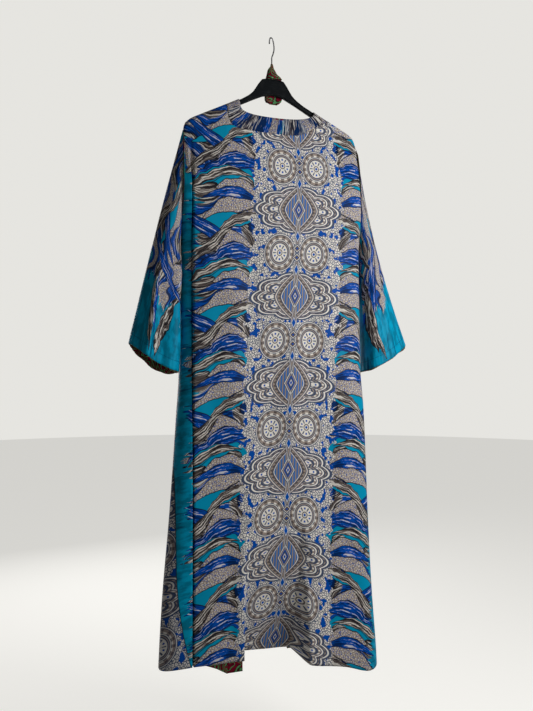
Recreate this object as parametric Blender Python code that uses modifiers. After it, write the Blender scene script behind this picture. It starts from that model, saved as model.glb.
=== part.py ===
# A long kimono robe hanging on a coat hanger, its belt looped over the hook's stem.
# Metres, +Z up. +X is the wearer's left, -Y the wearer's front, the origin is inside the hook's top.
import math

import bmesh
import bpy
import numpy as np

# Cloth
CLOTH = 0.0015
LINING = 0.0010
GAP = 0.0003
SIDE_Y = -0.002
SIDE_SQUARENESS = 12.0
SIDE_ROUNDNESS = 2.2
SIDE_LAND = 0.006
SIDE_LAND_DROP = 0.02
SIDE_SEAM_DROP = 0.1
TWIST_REACH = 0.26
SHOULDER_ROUND = 0.0115
SHOULDER_SPREAD = 0.16
ARMHOLE_LOW_Z = -0.505
ARMHOLE_HALF_WIDTH = 0.026
ARMHOLE_FULLNESS = 0.7
CREASE_X = 0.2075
CREASE_HALF_WIDTH = 0.007

# Rows of each panel, from its top edge to the foot of the armhole and on to the hem
UPPER_ROWS = 10
LOWER_ROWS = 18
ROW_GROWTH = 1.2
ARM_DROPS = (0.0, 0.00011, 0.00154, 0.0049, 0.0115, 0.028, 0.055, 0.095, 0.150, 0.215)

# The body's sections: side edges, depth of the back and of the front, and how far the right is further back
SECTION_COLUMNS = ("height", "left", "right", "back", "twist", "front")
SECTIONS = (
    (-0.245, 0.2211, -0.2262, 0.036, 0.000, 0.032),
    (-0.340, 0.2255, -0.2285, 0.043, 0.000, 0.037),
    (-0.505, 0.2275, -0.2300, 0.046, 0.000, 0.040),
    (-0.810, 0.2295, -0.2350, 0.049, 0.002, 0.042),
    (-0.900, 0.2350, -0.2420, 0.050, 0.004, 0.043),
    (-1.140, 0.2520, -0.2500, 0.054, 0.010, 0.043),
    (-1.350, 0.2700, -0.2570, 0.061, 0.020, 0.048),
    (-1.500, 0.2780, -0.2640, 0.067, 0.030, 0.052),
    (-1.560, 0.2800, -0.2660, 0.068, 0.032, 0.054),
)

# The shoulder's line over the hanger's arms, from the left armhole to the right one
SHOULDER_COLUMNS = ("across", "height")
SHOULDER = (
    (0.2211, -0.2451),
    (0.2195, -0.2355),
    (0.2150, -0.2265),
    (0.2090, -0.2200),
    (0.2040, -0.2160),
    (0.1980, -0.2122),
    (0.1200, -0.1738),
    (-0.1475, -0.1854),
    (-0.2020, -0.2122),
    (-0.2080, -0.2160),
    (-0.2135, -0.2200),
    (-0.2195, -0.2275),
    (-0.2245, -0.2385),
    (-0.2262, -0.2495),
)

# The seam of the neckband on the back, from the left arm round to the right arm, with the band's free edge
NECK_COLUMNS = ("across", "height", "edge_across", "edge_back", "edge_height")
NECK = (
    (0.1200, -0.1738, 0.0860, 0.0000, -0.1567),
    (0.1195, -0.1756, 0.0859, 0.0058, -0.1582),
    (0.1185, -0.1795, 0.0857, 0.0094, -0.1616),
    (0.1172, -0.1880, 0.0850, 0.0115, -0.1685),
    (0.1152, -0.2040, 0.0832, 0.0118, -0.1765),
    (0.1095, -0.2200, 0.0790, 0.0120, -0.1840),
    (0.0950, -0.2300, 0.0690, 0.0122, -0.1890),
    (0.0600, -0.2345, 0.0480, 0.0125, -0.1935),
    (0.0230, -0.2358, 0.0190, 0.0128, -0.1955),
    (-0.0135, -0.2362, -0.0120, 0.0128, -0.1960),
    (-0.0500, -0.2355, -0.0430, 0.0128, -0.1950),
    (-0.0800, -0.2275, -0.0680, 0.0125, -0.1925),
    (-0.1080, -0.2110, -0.0880, 0.0122, -0.1880),
    (-0.1300, -0.1985, -0.1020, 0.0118, -0.1815),
    (-0.1430, -0.1905, -0.1082, 0.0094, -0.1719),
    (-0.1460, -0.1870, -0.1096, 0.0058, -0.1684),
    (-0.1475, -0.1854, -0.1100, 0.0000, -0.1669),
)
NECK_OFF_ARM_Z = -0.205
ARM_SEAM_GAP = 0.0010
BAND_WIDTH = 0.040
BAND_SEAM_HEM_LEFT = 0.100
BAND_SEAM_HEM_RIGHT = -0.100
BAND_SEAM_TOP_Z = -0.17
BAND_SEAM_RUN = 1.33
BAND_SEAM_LEAN = 0.8
BAND_SETTLE = 0.12
ARM_SEAM_FADE = 0.01

# Columns of the back, counted from the crease below the hanger's end: where each starts and where it ends
BACK_RAIL_COLUMNS = ("index", "hem_across")
BACK_RAILS = (
    (0, 0.2075),
    (1, 0.2005),
    (4, 0.1250),
    (6, 0.0930),
    (8, 0.0700),
    (12, -0.0300),
    (14, -0.0480),
    (17, -0.0700),
    (21, -0.1600),
    (25, -0.2380),
    (26, -0.2540),
    (27, -0.2620),
    (29, -0.2640),
)
STRIP_SHARES = (1.0, 1.0, 0.86, 0.45, 0.0)
SHOULDER_STEPS_LEFT = 4
SHOULDER_STEPS_RIGHT = 5
NEAR_SIDE_SHARES = (0.90, 0.97, 1.0, 1.0)
FRONT_STEPS = 10
FAN_LENGTH = 0.45

# Large folds: a trough between two lips, deepening downwards. Depth is inwards from the cloth's own face.
FOLD_COLUMNS = (
    "panel", "left_foot", "left_lip", "right_foot", "right_lip", "depth", "top", "full", "growth",
)
FOLDS = (
    ("back", 0.0715, 0.0900, -0.0490, -0.0690, 0.086, -1.13, -1.50, 2.0),
    ("back", 0.2085, 0.2145, 0.2065, 0.2005, 0.011, -0.27, -0.36, 1.0),
    ("front", 0.165, 0.205, 0.155, 0.120, 0.012, -0.35, -0.95, 1.0),
    ("front", -0.175, -0.150, -0.185, -0.215, 0.012, -0.40, -1.00, 1.0),
)
FOLD_GROWTH_LIMIT = 1.05

# The hem, by where a column ends
HEM_COLUMNS = ("across", "height")
HEM_BACK = (
    (0.278, -1.497),
    (0.2075, -1.486),
    (0.150, -1.484),
    (0.092, -1.483),
    (0.070, -1.490),
    (-0.047, -1.493),
    (-0.070, -1.507),
    (-0.154, -1.520),
    (-0.220, -1.536),
    (-0.264, -1.528),
)
HEM_FRONT = (
    (0.278, -1.497),
    (0.200, -1.511),
    (0.160, -1.521),
    (0.120, -1.540),
    (0.095, -1.552),
    (0.060, -1.552),
    (-0.060, -1.513),
    (-0.100, -1.514),
    (-0.264, -1.528),
)
SIDE_HEM_LEFT = 0.278
SIDE_HEM_RIGHT = -0.264
CURL_DEPTH = 0.014
CURL_HEIGHT = 0.12
CURL_TOP_Z = -1.43
CURL_FROM_X = 0.17
CURL_SPREAD = 0.12

# The cuffs, by place round the ring: 0 is the outer top, a quarter the back, a half the inner side
CUFF_COLUMNS = ("place", "across", "back", "height")
CUFF_LEFT = (
    (0.00, 0.347, -0.005, -0.7435),
    (0.10, 0.336, 0.030, -0.7550),
    (0.20, 0.320, 0.047, -0.7690),
    (0.30, 0.286, 0.040, -0.7880),
    (0.40, 0.254, 0.026, -0.8055),
    (0.50, 0.2425, -0.010, -0.8110),
    (0.60, 0.250, -0.050, -0.8130),
    (0.72, 0.280, -0.074, -0.8010),
    (0.84, 0.314, -0.064, -0.7720),
    (0.93, 0.337, -0.036, -0.7520),
)
CUFF_RIGHT = (
    (0.00, -0.364, 0.012, -0.7450),
    (0.10, -0.345, 0.030, -0.7580),
    (0.20, -0.318, 0.044, -0.7730),
    (0.30, -0.285, 0.050, -0.7900),
    (0.40, -0.256, 0.036, -0.8040),
    (0.50, -0.2470, -0.010, -0.8130),
    (0.60, -0.255, -0.050, -0.8150),
    (0.72, -0.292, -0.074, -0.8030),
    (0.84, -0.330, -0.060, -0.7800),
    (0.93, -0.356, -0.028, -0.7570),
)
SLEEVE_STEPS = 12
SLEEVE_OUTSIDE_LOW_Z = -0.460
SLEEVE_OUTSIDE_FADE = 0.05
SLEEVE_BOW_LEFT = 0.003
SLEEVE_BOW_RIGHT = -0.015
SLEEVE_BOW_SHARPNESS = 1.5
CUFF_LINING_STEPS = 2
HEM_LINING_STEPS = 4

# Hanger, by distance from its middle
HANGER_CENTRE_X = -0.002
ARM_COLUMNS = ("out", "top", "bottom", "half_depth")
ARM = (
    (0.000, -0.0985, -0.1385, 0.0050),
    (0.018, -0.0990, -0.1412, 0.0050),
    (0.0275, -0.1015, -0.1436, 0.0050),
    (0.036, -0.1125, -0.1475, 0.0050),
    (0.050, -0.1335, -0.1540, 0.0050),
    (0.063, -0.1450, -0.1605, 0.0050),
    (0.080, -0.1556, -0.1690, 0.0050),
    (0.100, -0.1655, -0.1795, 0.0050),
    (0.120, -0.1754, -0.1892, 0.0050),
    (0.180, -0.2049, -0.2178, 0.0048),
    (0.200, -0.2150, -0.2272, 0.0040),
    (0.2060, -0.2195, -0.2280, 0.0030),
    (0.2085, -0.2230, -0.2265, 0.0020),
)
ARM_EXTRA_PLACES = (0.009, 0.043, 0.056, 0.140, 0.160)
FLANGE = 0.0026
FLANGE_SHARE = 0.25
FLANGE_ROOT = 1.3
EDGE_COLUMNS = ("depth_share", "lip_share")
EDGE = (
    (0.40, 0.00),
    (0.85, 0.35),
    (1.00, 0.90),
)
WEB_RECESS = 0.0018
WIRE_RADIUS = 0.0016
HOOK_RADIUS = 0.0176
HOOK_FORWARD = (0.633, 0.774)
STEM_BEND_Z = -0.047
STEM_POINTS = 6
LOOP_START = 228.0
LOOP_END = -8.0
HOOK_POINTS = 22
SOCKET_DEPTH = 0.015

# Folded belt, behind the plate as seen in the photograph
BELT_COLUMNS = ("height", "left", "right", "half_depth", "flank")
BELT = (
    (-0.0683, 0.0040, -0.0015, 0.0018, -0.0032),
    (-0.0740, 0.0080, -0.0060, 0.0030, -0.0034),
    (-0.0820, 0.0092, -0.0122, 0.0042, -0.0040),
    (-0.0920, 0.0114, -0.0240, 0.0056, -0.0053),
    (-0.1010, 0.0126, -0.0305, 0.0066, -0.0059),
    (-0.1220, 0.0132, -0.0310, 0.0070, -0.0059),
    (-0.1420, 0.0134, -0.0300, 0.0070, -0.0059),
    (-0.1500, 0.0110, -0.0270, 0.0060, -0.0059),
    (-0.1550, 0.0020, -0.0190, 0.0036, -0.0070),
)
BELT_SIDES = 20
BELT_FULLNESS = 0.7

# The belt's turn round the stem, a cone of cloth that widens down to the plate, its back on the bundle
TURN_COLUMNS = ("height", "left", "right", "front")
TURN = (
    (-0.0622, 0.0030, -0.0030, 0.0029),
    (-0.0660, 0.0038, -0.0040, 0.0033),
    (-0.0707, 0.0066, -0.0058, 0.0038),
    (-0.0756, 0.0094, -0.0078, 0.0042),
    (-0.0805, 0.0086, -0.0106, 0.0045),
    (-0.0854, 0.0088, -0.0148, 0.0047),
    (-0.0902, 0.0106, -0.0216, 0.0048),
    (-0.0966, 0.0112, -0.0274, 0.0049),
)
TURN_FULLNESS = 0.85


# Tables

def column(rows, names, name):
    return np.array([row[names.index(name)] for row in rows], float)


def smooth_lookup(keys, values, where):
    # Cubic through the rows, its slope at each row the flatter-weighted mean of the slopes beside it.
    order = np.argsort(keys)
    keys = keys[order]
    values = values[order]
    steps = np.diff(keys)
    slopes = np.diff(values) / steps
    same_way = slopes[1:] * slopes[:-1] > 0
    mean = 2 * slopes[1:] * slopes[:-1] / np.where(same_way, slopes[1:] + slopes[:-1], 1.0)
    tangents = np.concatenate([slopes[:1], np.where(same_way, mean, 0.0), slopes[-1:]])
    where = np.clip(np.asarray(where, float), keys[0], keys[-1])
    cell = np.clip(np.searchsorted(keys, where) - 1, 0, len(steps) - 1)
    step = steps[cell]
    part = (where - keys[cell]) / step
    ends = (1 + 2 * part) * (1 - part) ** 2 * values[cell] + part**2 * (3 - 2 * part) * values[cell + 1]
    bends = part * (1 - part) ** 2 * tangents[cell] - part**2 * (1 - part) * tangents[cell + 1]
    return ends + step * bends


def look_up(rows, names, key, name, where):
    return smooth_lookup(column(rows, names, key), column(rows, names, name), where)


def straight_lookup(rows, names, key, name, where):
    keys = column(rows, names, key)
    order = np.argsort(keys)
    return np.interp(where, keys[order], column(rows, names, name)[order])


def ease(value):
    value = np.clip(value, 0.0, 1.0)
    return value * value * (3 - 2 * value)


# Cloth form

def section(name, z):
    return look_up(SECTIONS, SECTION_COLUMNS, "height", name, z)


def shoulder_height(x):
    return straight_lookup(SHOULDER, SHOULDER_COLUMNS, "across", "height", x)


def side_seam_y(z):
    # The side seam runs a little to the front of the hanger's plane, and meets the shoulder in that plane.
    return SIDE_Y * ease((SHOULDER[0][1] - z) / SIDE_SEAM_DROP)


def armhole_half(z):
    # The armhole is a slit that opens as half a lens between the shoulder and its foot.
    top = SHOULDER[0][1]
    part = np.clip((z - ARMHOLE_LOW_Z) / (top - ARMHOLE_LOW_Z), 0.0, 1.0)
    return ARMHOLE_HALF_WIDTH * np.sin(math.pi * part) ** ARMHOLE_FULLNESS


def fold_depth(panel, x, z):
    total = np.zeros(np.broadcast(x, z).shape)
    for row in FOLDS:
        fold = dict(zip(FOLD_COLUMNS, row))
        if fold["panel"] != panel:
            continue
        left = ease((fold["left_lip"] - x) / (fold["left_lip"] - fold["left_foot"]))
        right = ease((x - fold["right_lip"]) / (fold["right_foot"] - fold["right_lip"]))
        grown = np.maximum((fold["top"] - z) / (fold["top"] - fold["full"]), 0.0) ** fold["growth"]
        total = total + fold["depth"] * left * right * np.minimum(grown, FOLD_GROWTH_LIMIT)
    return total


def body_depth(panel, x, z):
    # Distance of the cloth from the plane through the hanger, for a point of the back or the front.
    left = section("left", z)
    right = section("right", z)
    middle = (left + right) / 2
    across = np.clip(np.abs(x - middle) / ((left - right) / 2), 0.0, 1.0)
    flatness = (1 - across**SIDE_SQUARENESS) ** (1 / SIDE_ROUNDNESS)
    full = section(panel, z)
    if panel == "back":
        full = full - section("twist", z) * (x - middle) / TWIST_REACH
    outward = 1.0 if panel == "back" else -1.0
    edge = armhole_half(z) + GAP / 2 + outward * side_seam_y(z)
    drop = np.maximum(shoulder_height(x) - z, 0.0)
    cap = SHOULDER_ROUND * np.sqrt(1 - (1 - np.clip(drop / SHOULDER_ROUND, 0, 1)) ** 2)
    spread = GAP / 2 + cap + ease(drop / SHOULDER_SPREAD) * (full - SHOULDER_ROUND)
    return edge + (np.maximum(spread, edge) - edge) * flatness - fold_depth(panel, x, z)


def side_land(panel, x, z):
    # The last stretch before a side edge is flat, so that the walls of two panels meet squarely.
    outward = 1.0 if panel == "back" else -1.0
    edge = armhole_half(z) + GAP / 2 + outward * side_seam_y(z)
    drop = np.maximum(SHOULDER[0][1] - z, 0.0)
    return edge + SIDE_LAND * ease(drop / SIDE_LAND_DROP)


def heights(top, hem, over_arm):
    # Heights of the rows of one column: close together over the arm, even elsewhere.
    steps = np.arange(UPPER_ROWS + 1) / UPPER_ROWS
    even = steps**ROW_GROWTH * (top - ARMHOLE_LOW_Z)
    rounded = np.append(np.array(ARM_DROPS), top - ARMHOLE_LOW_Z)
    drops = even + (rounded - even) * over_arm
    lower = np.arange(1, LOWER_ROWS + 1) / LOWER_ROWS
    return np.concatenate([top - drops, ARMHOLE_LOW_Z + (hem - ARMHOLE_LOW_Z) * lower])


def neck_stations():
    return np.column_stack([column(NECK, NECK_COLUMNS, name) for name in NECK_COLUMNS])


def back_grid():
    # Columns run from the left side, through the crease, to the right side, and rows from the top down.
    neck = neck_stations()
    lip_x = CREASE_X + CREASE_HALF_WIDTH
    strip_top = lip_x + (SHOULDER[0][0] - lip_x) * np.array(STRIP_SHARES)
    left_top = np.linspace(CREASE_X - CREASE_HALF_WIDTH, neck[0, 0], SHOULDER_STEPS_LEFT + 1)[:-1]
    left_top = np.concatenate([[CREASE_X], left_top])
    right_shares = np.append(np.linspace(0, 1, SHOULDER_STEPS_RIGHT + 1)[1:-1], NEAR_SIDE_SHARES)
    right_top = neck[-1, 0] + (SHOULDER[-1][0] - neck[-1, 0]) * right_shares
    top_x = np.concatenate([strip_top, left_top, neck[:, 0], right_top])
    over_arm_z = shoulder_height(top_x)
    first_neck = len(strip_top) + len(left_top)
    after_neck = first_neck + len(neck)
    top_z = np.concatenate([over_arm_z[:first_neck], neck[:, 1], over_arm_z[after_neck:]])
    over_arm = np.ones(len(top_x))
    over_arm[first_neck + 1 : after_neck - 1] = 0.0
    over_arm[[first_neck + 1, after_neck - 2]] = 1.0
    over_arm[[first_neck + 2, after_neck - 3]] = 0.7
    over_arm[[0, 1, -2, -1]] = 0.0
    grid = np.empty((UPPER_ROWS + LOWER_ROWS + 1, len(top_x), 3))
    for number in range(len(top_x)):
        rail = number - len(strip_top)
        if rail < 0:
            end_x = lip_x + (SIDE_HEM_LEFT - lip_x) * STRIP_SHARES[number]
        else:
            end_x = float(straight_lookup(BACK_RAILS, BACK_RAIL_COLUMNS, "index", "hem_across", rail))
        hem_z = float(look_up(HEM_BACK, HEM_COLUMNS, "across", "height", end_x))
        z = heights(top_z[number], hem_z, over_arm[number])
        if rail < 0:
            x = lip_x + (section("left", z) - lip_x) * STRIP_SHARES[number]
        elif rail <= 1:
            x = np.full(len(z), end_x)
        elif number >= len(top_x) - 2:
            x = section("right", z)
        else:
            x = fanned(top_x[number], end_x, z)
        y = side_land("back", x, z) if number in (1, len(top_x) - 2) else body_depth("back", x, z)
        grid[:, number] = np.column_stack([x, y, z])
    return grid


def fanned(top_x, hem_x, z):
    # A column leaves its place on the top edge and spreads until it hangs straight to the hem.
    reach = (CREASE_X - hem_x) / (CREASE_X - SIDE_HEM_RIGHT)
    hanging = CREASE_X - (CREASE_X - section("right", z)) * reach
    return top_x + (hanging - top_x) * ease((z[0] - z) / FAN_LENGTH)


def seam_across(side, z):
    # The front's edge at the band: it starts at the neck point and runs nearer the middle at the hem.
    start = NECK[0][0] if side > 0 else NECK[-1][0]
    end = BAND_SEAM_HEM_LEFT if side > 0 else BAND_SEAM_HEM_RIGHT
    return start + (end - start) * ease((BAND_SEAM_TOP_Z - z) / BAND_SEAM_RUN) ** BAND_SEAM_LEAN


def curl(side, x, z):
    # The left front's lower corner turns in towards the back.
    if side < 0:
        return 0.0 * z
    return CURL_DEPTH * ease((CURL_FROM_X - x) / CURL_SPREAD) * ease((CURL_TOP_Z - z) / CURL_HEIGHT)


def front_grid(side):
    # Columns run along +X, between the side and the band's seam, and rows from the shoulder down.
    left = side > 0
    shoulder_x = SHOULDER[0][0] if left else SHOULDER[-1][0]
    neck_x = NECK[0][0] if left else NECK[-1][0]
    side_hem = SIDE_HEM_LEFT if left else SIDE_HEM_RIGHT
    seam_hem = BAND_SEAM_HEM_LEFT if left else BAND_SEAM_HEM_RIGHT
    shares = np.append(1 - np.array(NEAR_SIDE_SHARES[::-1]), np.linspace(0, 1, FRONT_STEPS + 1)[2:])
    grid = np.empty((UPPER_ROWS + LOWER_ROWS + 1, len(shares), 3))
    for number, share in enumerate(shares):
        top_z = float(shoulder_height(shoulder_x + (neck_x - shoulder_x) * share))
        end_x = side_hem + (seam_hem - side_hem) * share
        hem_z = float(look_up(HEM_FRONT, HEM_COLUMNS, "across", "height", end_x))
        z = heights(top_z, hem_z, 0.0 if number <= 1 else 1.0)
        side_x = section("left" if left else "right", z)
        x = side_x + (seam_across(side, z) - side_x) * share
        depth = side_land("front", x, z) if number == 1 else body_depth("front", x, z)
        grid[:, number] = np.column_stack([x, curl(side, x, z) - depth, z])
    return grid[:, ::-1] if left else grid


def band_front(side):
    # The band's seam edge and free edge down one front, from below the shoulder to the hem.
    neck = NECK[0] if side > 0 else NECK[-1]
    start = dict(zip(NECK_COLUMNS, neck))
    panel = front_grid(side)
    seam = panel[1:, 0] if side > 0 else panel[1:, -1]
    settled = ease((start["height"] - seam[:, 2]) / BAND_SETTLE)
    at_arm = np.array([start["edge_across"] - start["across"], 0.0, start["edge_height"] - start["height"]])
    hanging = np.array([-side * BAND_WIDTH, 0.0, 0.0])
    free = seam + at_arm * (1 - settled[:, None]) + hanging * settled[:, None]
    return seam, free


def band_grid():
    # From the left hem over the shoulder, round the neck and down to the right hem.
    neck = neck_stations()
    neck_y = body_depth("back", neck[:, 0], neck[:, 1])
    neck_y[[0, -1]] = 0.0
    left_seam, left_free = band_front(1)
    right_seam, right_free = band_front(-1)
    neck_seam = np.column_stack([neck[:, 0], neck_y, neck[:, 1]])
    seam = np.concatenate([left_seam[::-1], neck_seam, right_seam])
    free = np.concatenate([left_free[::-1], neck[:, 2:5], right_free])
    across = free - seam
    over_arm = ease((seam[:, 2] - NECK_OFF_ARM_Z) / ARM_SEAM_FADE)[:, None]
    apart = GAP + ARM_SEAM_GAP * over_arm
    start = seam + across / np.linalg.norm(across, axis=1, keepdims=True) * apart
    return np.stack([free, (start + free) / 2, start], axis=0)


def armhole_ring(side):
    # Round the armhole: the top, down the back's edge, the foot, up the front's edge.
    top = SHOULDER[0][1] if side > 0 else SHOULDER[-1][1]
    z = heights(top, ARMHOLE_LOW_Z, 0.0)[: UPPER_ROWS + 1]
    outside_wall = CLOTH * ease((z - SLEEVE_OUTSIDE_LOW_Z) / SLEEVE_OUTSIDE_FADE)
    x = section("left" if side > 0 else "right", z) + side * (GAP + outside_wall)
    half = armhole_half(z)
    back = np.column_stack([x, side_seam_y(z) + half, z])
    front = np.column_stack([x, side_seam_y(z) - half, z])
    return np.concatenate([back, front[-2:0:-1]])


def cuff_ring(side, count):
    rows = CUFF_LEFT if side > 0 else CUFF_RIGHT
    place = np.arange(count) / count
    ring = []
    for name in ("across", "back", "height"):
        keys = column(rows, CUFF_COLUMNS, "place")
        values = column(rows, CUFF_COLUMNS, name)
        keys = np.concatenate([keys[-3:] - 1, keys, keys[:3] + 1])
        values = np.concatenate([values[-3:], values, values[:3]])
        ring.append(smooth_lookup(keys, values, place))
    return np.column_stack(ring)


def sleeve_grid(side):
    # Straight runs from the armhole to the cuff, bowed along the upper edge.
    start = armhole_ring(side)
    end = cuff_ring(side, len(start))
    bow = SLEEVE_BOW_LEFT if side > 0 else SLEEVE_BOW_RIGHT
    along = np.linspace(0, 1, SLEEVE_STEPS + 1)[:, None, None]
    rings = start + (end - start) * along
    around = 2 * math.pi * np.arange(len(start)) / len(start)
    upper = np.maximum(np.cos(around), 0.0) ** SLEEVE_BOW_SHARPNESS
    rings[:, :, 0] += side * bow * upper * np.sin(math.pi * along[:, :, 0])
    return rings if side > 0 else rings[:, ::-1]


# Making solids

def material(name, colour, roughness, metallic=0.0):
    made = bpy.data.materials.new(name)
    made.use_nodes = True
    shader = made.node_tree.nodes["Principled BSDF"]
    shader.inputs["Base Color"].default_value = (*colour, 1.0)
    shader.inputs["Roughness"].default_value = roughness
    shader.inputs["Metallic"].default_value = metallic
    return made


def sheet_object(name, grid, finish, collection, thickness, offset, round_ring=False):
    # An open surface of quads with Solidify. Its faces are turned so that the wall lies inside.
    rows, columns = grid.shape[:2]
    mesh = bpy.data.meshes.new(name)
    last = columns if round_ring else columns - 1
    faces = []
    for row in range(rows - 1):
        for number in range(last):
            following = (number + 1) % columns
            here = row * columns
            below = here + columns
            faces.append((here + number, below + number, below + following, here + following))
    mesh.from_pydata(grid.reshape(-1, 3).tolist(), [], faces)
    mesh.shade_smooth()
    obj = bpy.data.objects.new(name, mesh)
    obj.data.materials.append(finish)
    collection.objects.link(obj)
    solidify = obj.modifiers.new("wall", "SOLIDIFY")
    solidify.thickness = thickness
    solidify.offset = offset
    solidify.use_even_offset = False
    solidify.use_rim = True
    return obj


def lining_offset():
    # Solidify's offset for a wall that starts one gap inside the cloth.
    return -1 - 2 * (CLOTH + GAP) / LINING


def loft_object(name, rings, finish, collection, closed=False):
    # A body through rings of equal counts. A fan caps each end, or else the last ring joins the first.
    count = len(rings[0])
    made = bmesh.new()
    loops = [[made.verts.new(point) for point in ring] for ring in rings]
    for one, two in zip(loops, loops[1:] + loops[:1] if closed else loops[1:]):
        for number in range(count):
            following = (number + 1) % count
            made.faces.new((one[number], one[following], two[following], two[number]))
    for loop in () if closed else (loops[0], loops[-1]):
        centre = made.verts.new(np.mean([vert.co for vert in loop], axis=0))
        for number in range(count):
            made.faces.new((loop[number], loop[(number + 1) % count], centre))
    bmesh.ops.recalc_face_normals(made, faces=made.faces)
    mesh = bpy.data.meshes.new(name)
    made.to_mesh(mesh)
    made.free()
    mesh.shade_smooth()
    mesh.set_sharp_from_angle(angle=math.radians(40))
    obj = bpy.data.objects.new(name, mesh)
    obj.data.materials.append(finish)
    collection.objects.link(obj)
    return obj


def hanger_body(finish, parts, cutters):
    # Sections along the arms: a web with a flange along its top edge and its bottom edge.
    out = column(ARM, ARM_COLUMNS, "out")
    fine = np.unique(np.concatenate([out, ARM_EXTRA_PLACES]))
    places = np.concatenate([-fine[::-1], fine[1:]])
    rings = []
    for place in places:
        top, bottom, half = (look_up(ARM, ARM_COLUMNS, "out", name, abs(place)) for name in ARM_COLUMNS[1:])
        lip = min(FLANGE, (top - bottom) * FLANGE_SHARE)
        web = half - WEB_RECESS
        y = np.append(half * column(EDGE, EDGE_COLUMNS, "depth_share"), web)
        inset = np.append(lip * column(EDGE, EDGE_COLUMNS, "lip_share"), lip * FLANGE_ROOT)
        flank_y = np.concatenate([y, y[::-1]])
        flank_z = np.concatenate([top - inset, bottom + inset[::-1]])
        ring_y = np.concatenate([flank_y, -flank_y[::-1]])
        ring_z = np.concatenate([flank_z, flank_z[::-1]])
        ring_x = np.full(len(ring_y), HANGER_CENTRE_X + place)
        rings.append([tuple(point) for point in np.column_stack([ring_x, ring_y, ring_z])])
    body = loft_object("hanger_body", rings, finish, parts)
    bpy.ops.mesh.primitive_cylinder_add(
        vertices=16,
        radius=WIRE_RADIUS + GAP,
        depth=SOCKET_DEPTH * 2,
        location=(0, 0, ARM[0][1]),
    )
    socket = bpy.context.object
    socket.name = "hook_socket"
    socket.hide_render = True
    socket.display_type = "WIRE"
    move_to(socket, cutters)
    cut = body.modifiers.new("socket", "BOOLEAN")
    cut.operation = "DIFFERENCE"
    cut.solver = "EXACT"
    cut.object = socket
    return body


def hook_points():
    # From the stem's foot up, back round the loop, over its top and down to the tip.
    centre_z = WIRE_RADIUS - HOOK_RADIUS
    stem_foot_z = ARM[0][1] - SOCKET_DEPTH + GAP
    points = [(0.0, z) for z in np.linspace(stem_foot_z, STEM_BEND_Z, STEM_POINTS)]
    start = math.radians(LOOP_START)
    entry = (HOOK_RADIUS * math.cos(start), centre_z + HOOK_RADIUS * math.sin(start))
    for part in (0.25, 0.5, 0.75):
        turn = ease(part)
        points.append((entry[0] * turn, STEM_BEND_Z + (entry[1] - STEM_BEND_Z) * part))
    for angle in np.linspace(start, math.radians(LOOP_END), HOOK_POINTS):
        points.append((HOOK_RADIUS * math.cos(angle), centre_z + HOOK_RADIUS * math.sin(angle)))
    return [(HOOK_FORWARD[0] * out, HOOK_FORWARD[1] * out, z) for out, z in points]


def wire_object(name, points, radius, finish, collection, closed=False):
    curve = bpy.data.curves.new(name, "CURVE")
    curve.dimensions = "3D"
    curve.bevel_depth = radius
    curve.bevel_resolution = 2
    curve.use_fill_caps = not closed
    spline = curve.splines.new("POLY")
    spline.points.add(len(points) - 1)
    for point, place in zip(spline.points, points):
        point.co = (*place, 1.0)
    spline.use_cyclic_u = closed
    spline.use_smooth = True
    obj = bpy.data.objects.new(name, curve)
    obj.data.materials.append(finish)
    collection.objects.link(obj)
    return obj


def rounded_ring(left, right, front, rear, height, fullness):
    # A ring between four sides. A fullness under 1 squares its corners.
    angles = np.arange(BELT_SIDES) * 2 * math.pi / BELT_SIDES
    across = np.sign(np.cos(angles)) * np.abs(np.cos(angles)) ** fullness
    deep = np.sign(np.sin(angles)) * np.abs(np.sin(angles)) ** fullness
    ring_x = (left + right) / 2 + (left - right) / 2 * across
    ring_y = (front + rear) / 2 + (front - rear) / 2 * deep
    return [(float(x), float(y), height) for x, y in zip(ring_x, ring_y)]


def belt_bundle(finish, collection):
    # Rounded rings that widen from the stem down to the bundle's full width, one flank on the plate.
    rings = []
    for height, left, right, half_depth, flank in BELT:
        rings.append(rounded_ring(left, right, flank, flank - 2 * half_depth, height, BELT_FULLNESS))
    return loft_object("belt_bundle", rings, finish, collection)


def belt_loop(finish, collection):
    # The outer rings go down the cone and the inner ones come up round the wire, one gap off it.
    heights = [row[0] for row in BELT][::-1]
    flanks = [row[4] for row in BELT][::-1]
    outer, inner = [], []
    hole = WIRE_RADIUS + GAP
    for height, left, right, front in TURN:
        rear = float(np.interp(height, heights, flanks)) + GAP
        outer.append(rounded_ring(left, right, front, rear, height, TURN_FULLNESS))
        inner.append(rounded_ring(hole, -hole, hole, -hole, height, 1.0))
    return loft_object("belt_loop", outer + inner[::-1], finish, collection, closed=True)


def move_to(obj, collection):
    for holder in obj.users_collection:
        holder.objects.unlink(obj)
    collection.objects.link(obj)


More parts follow.
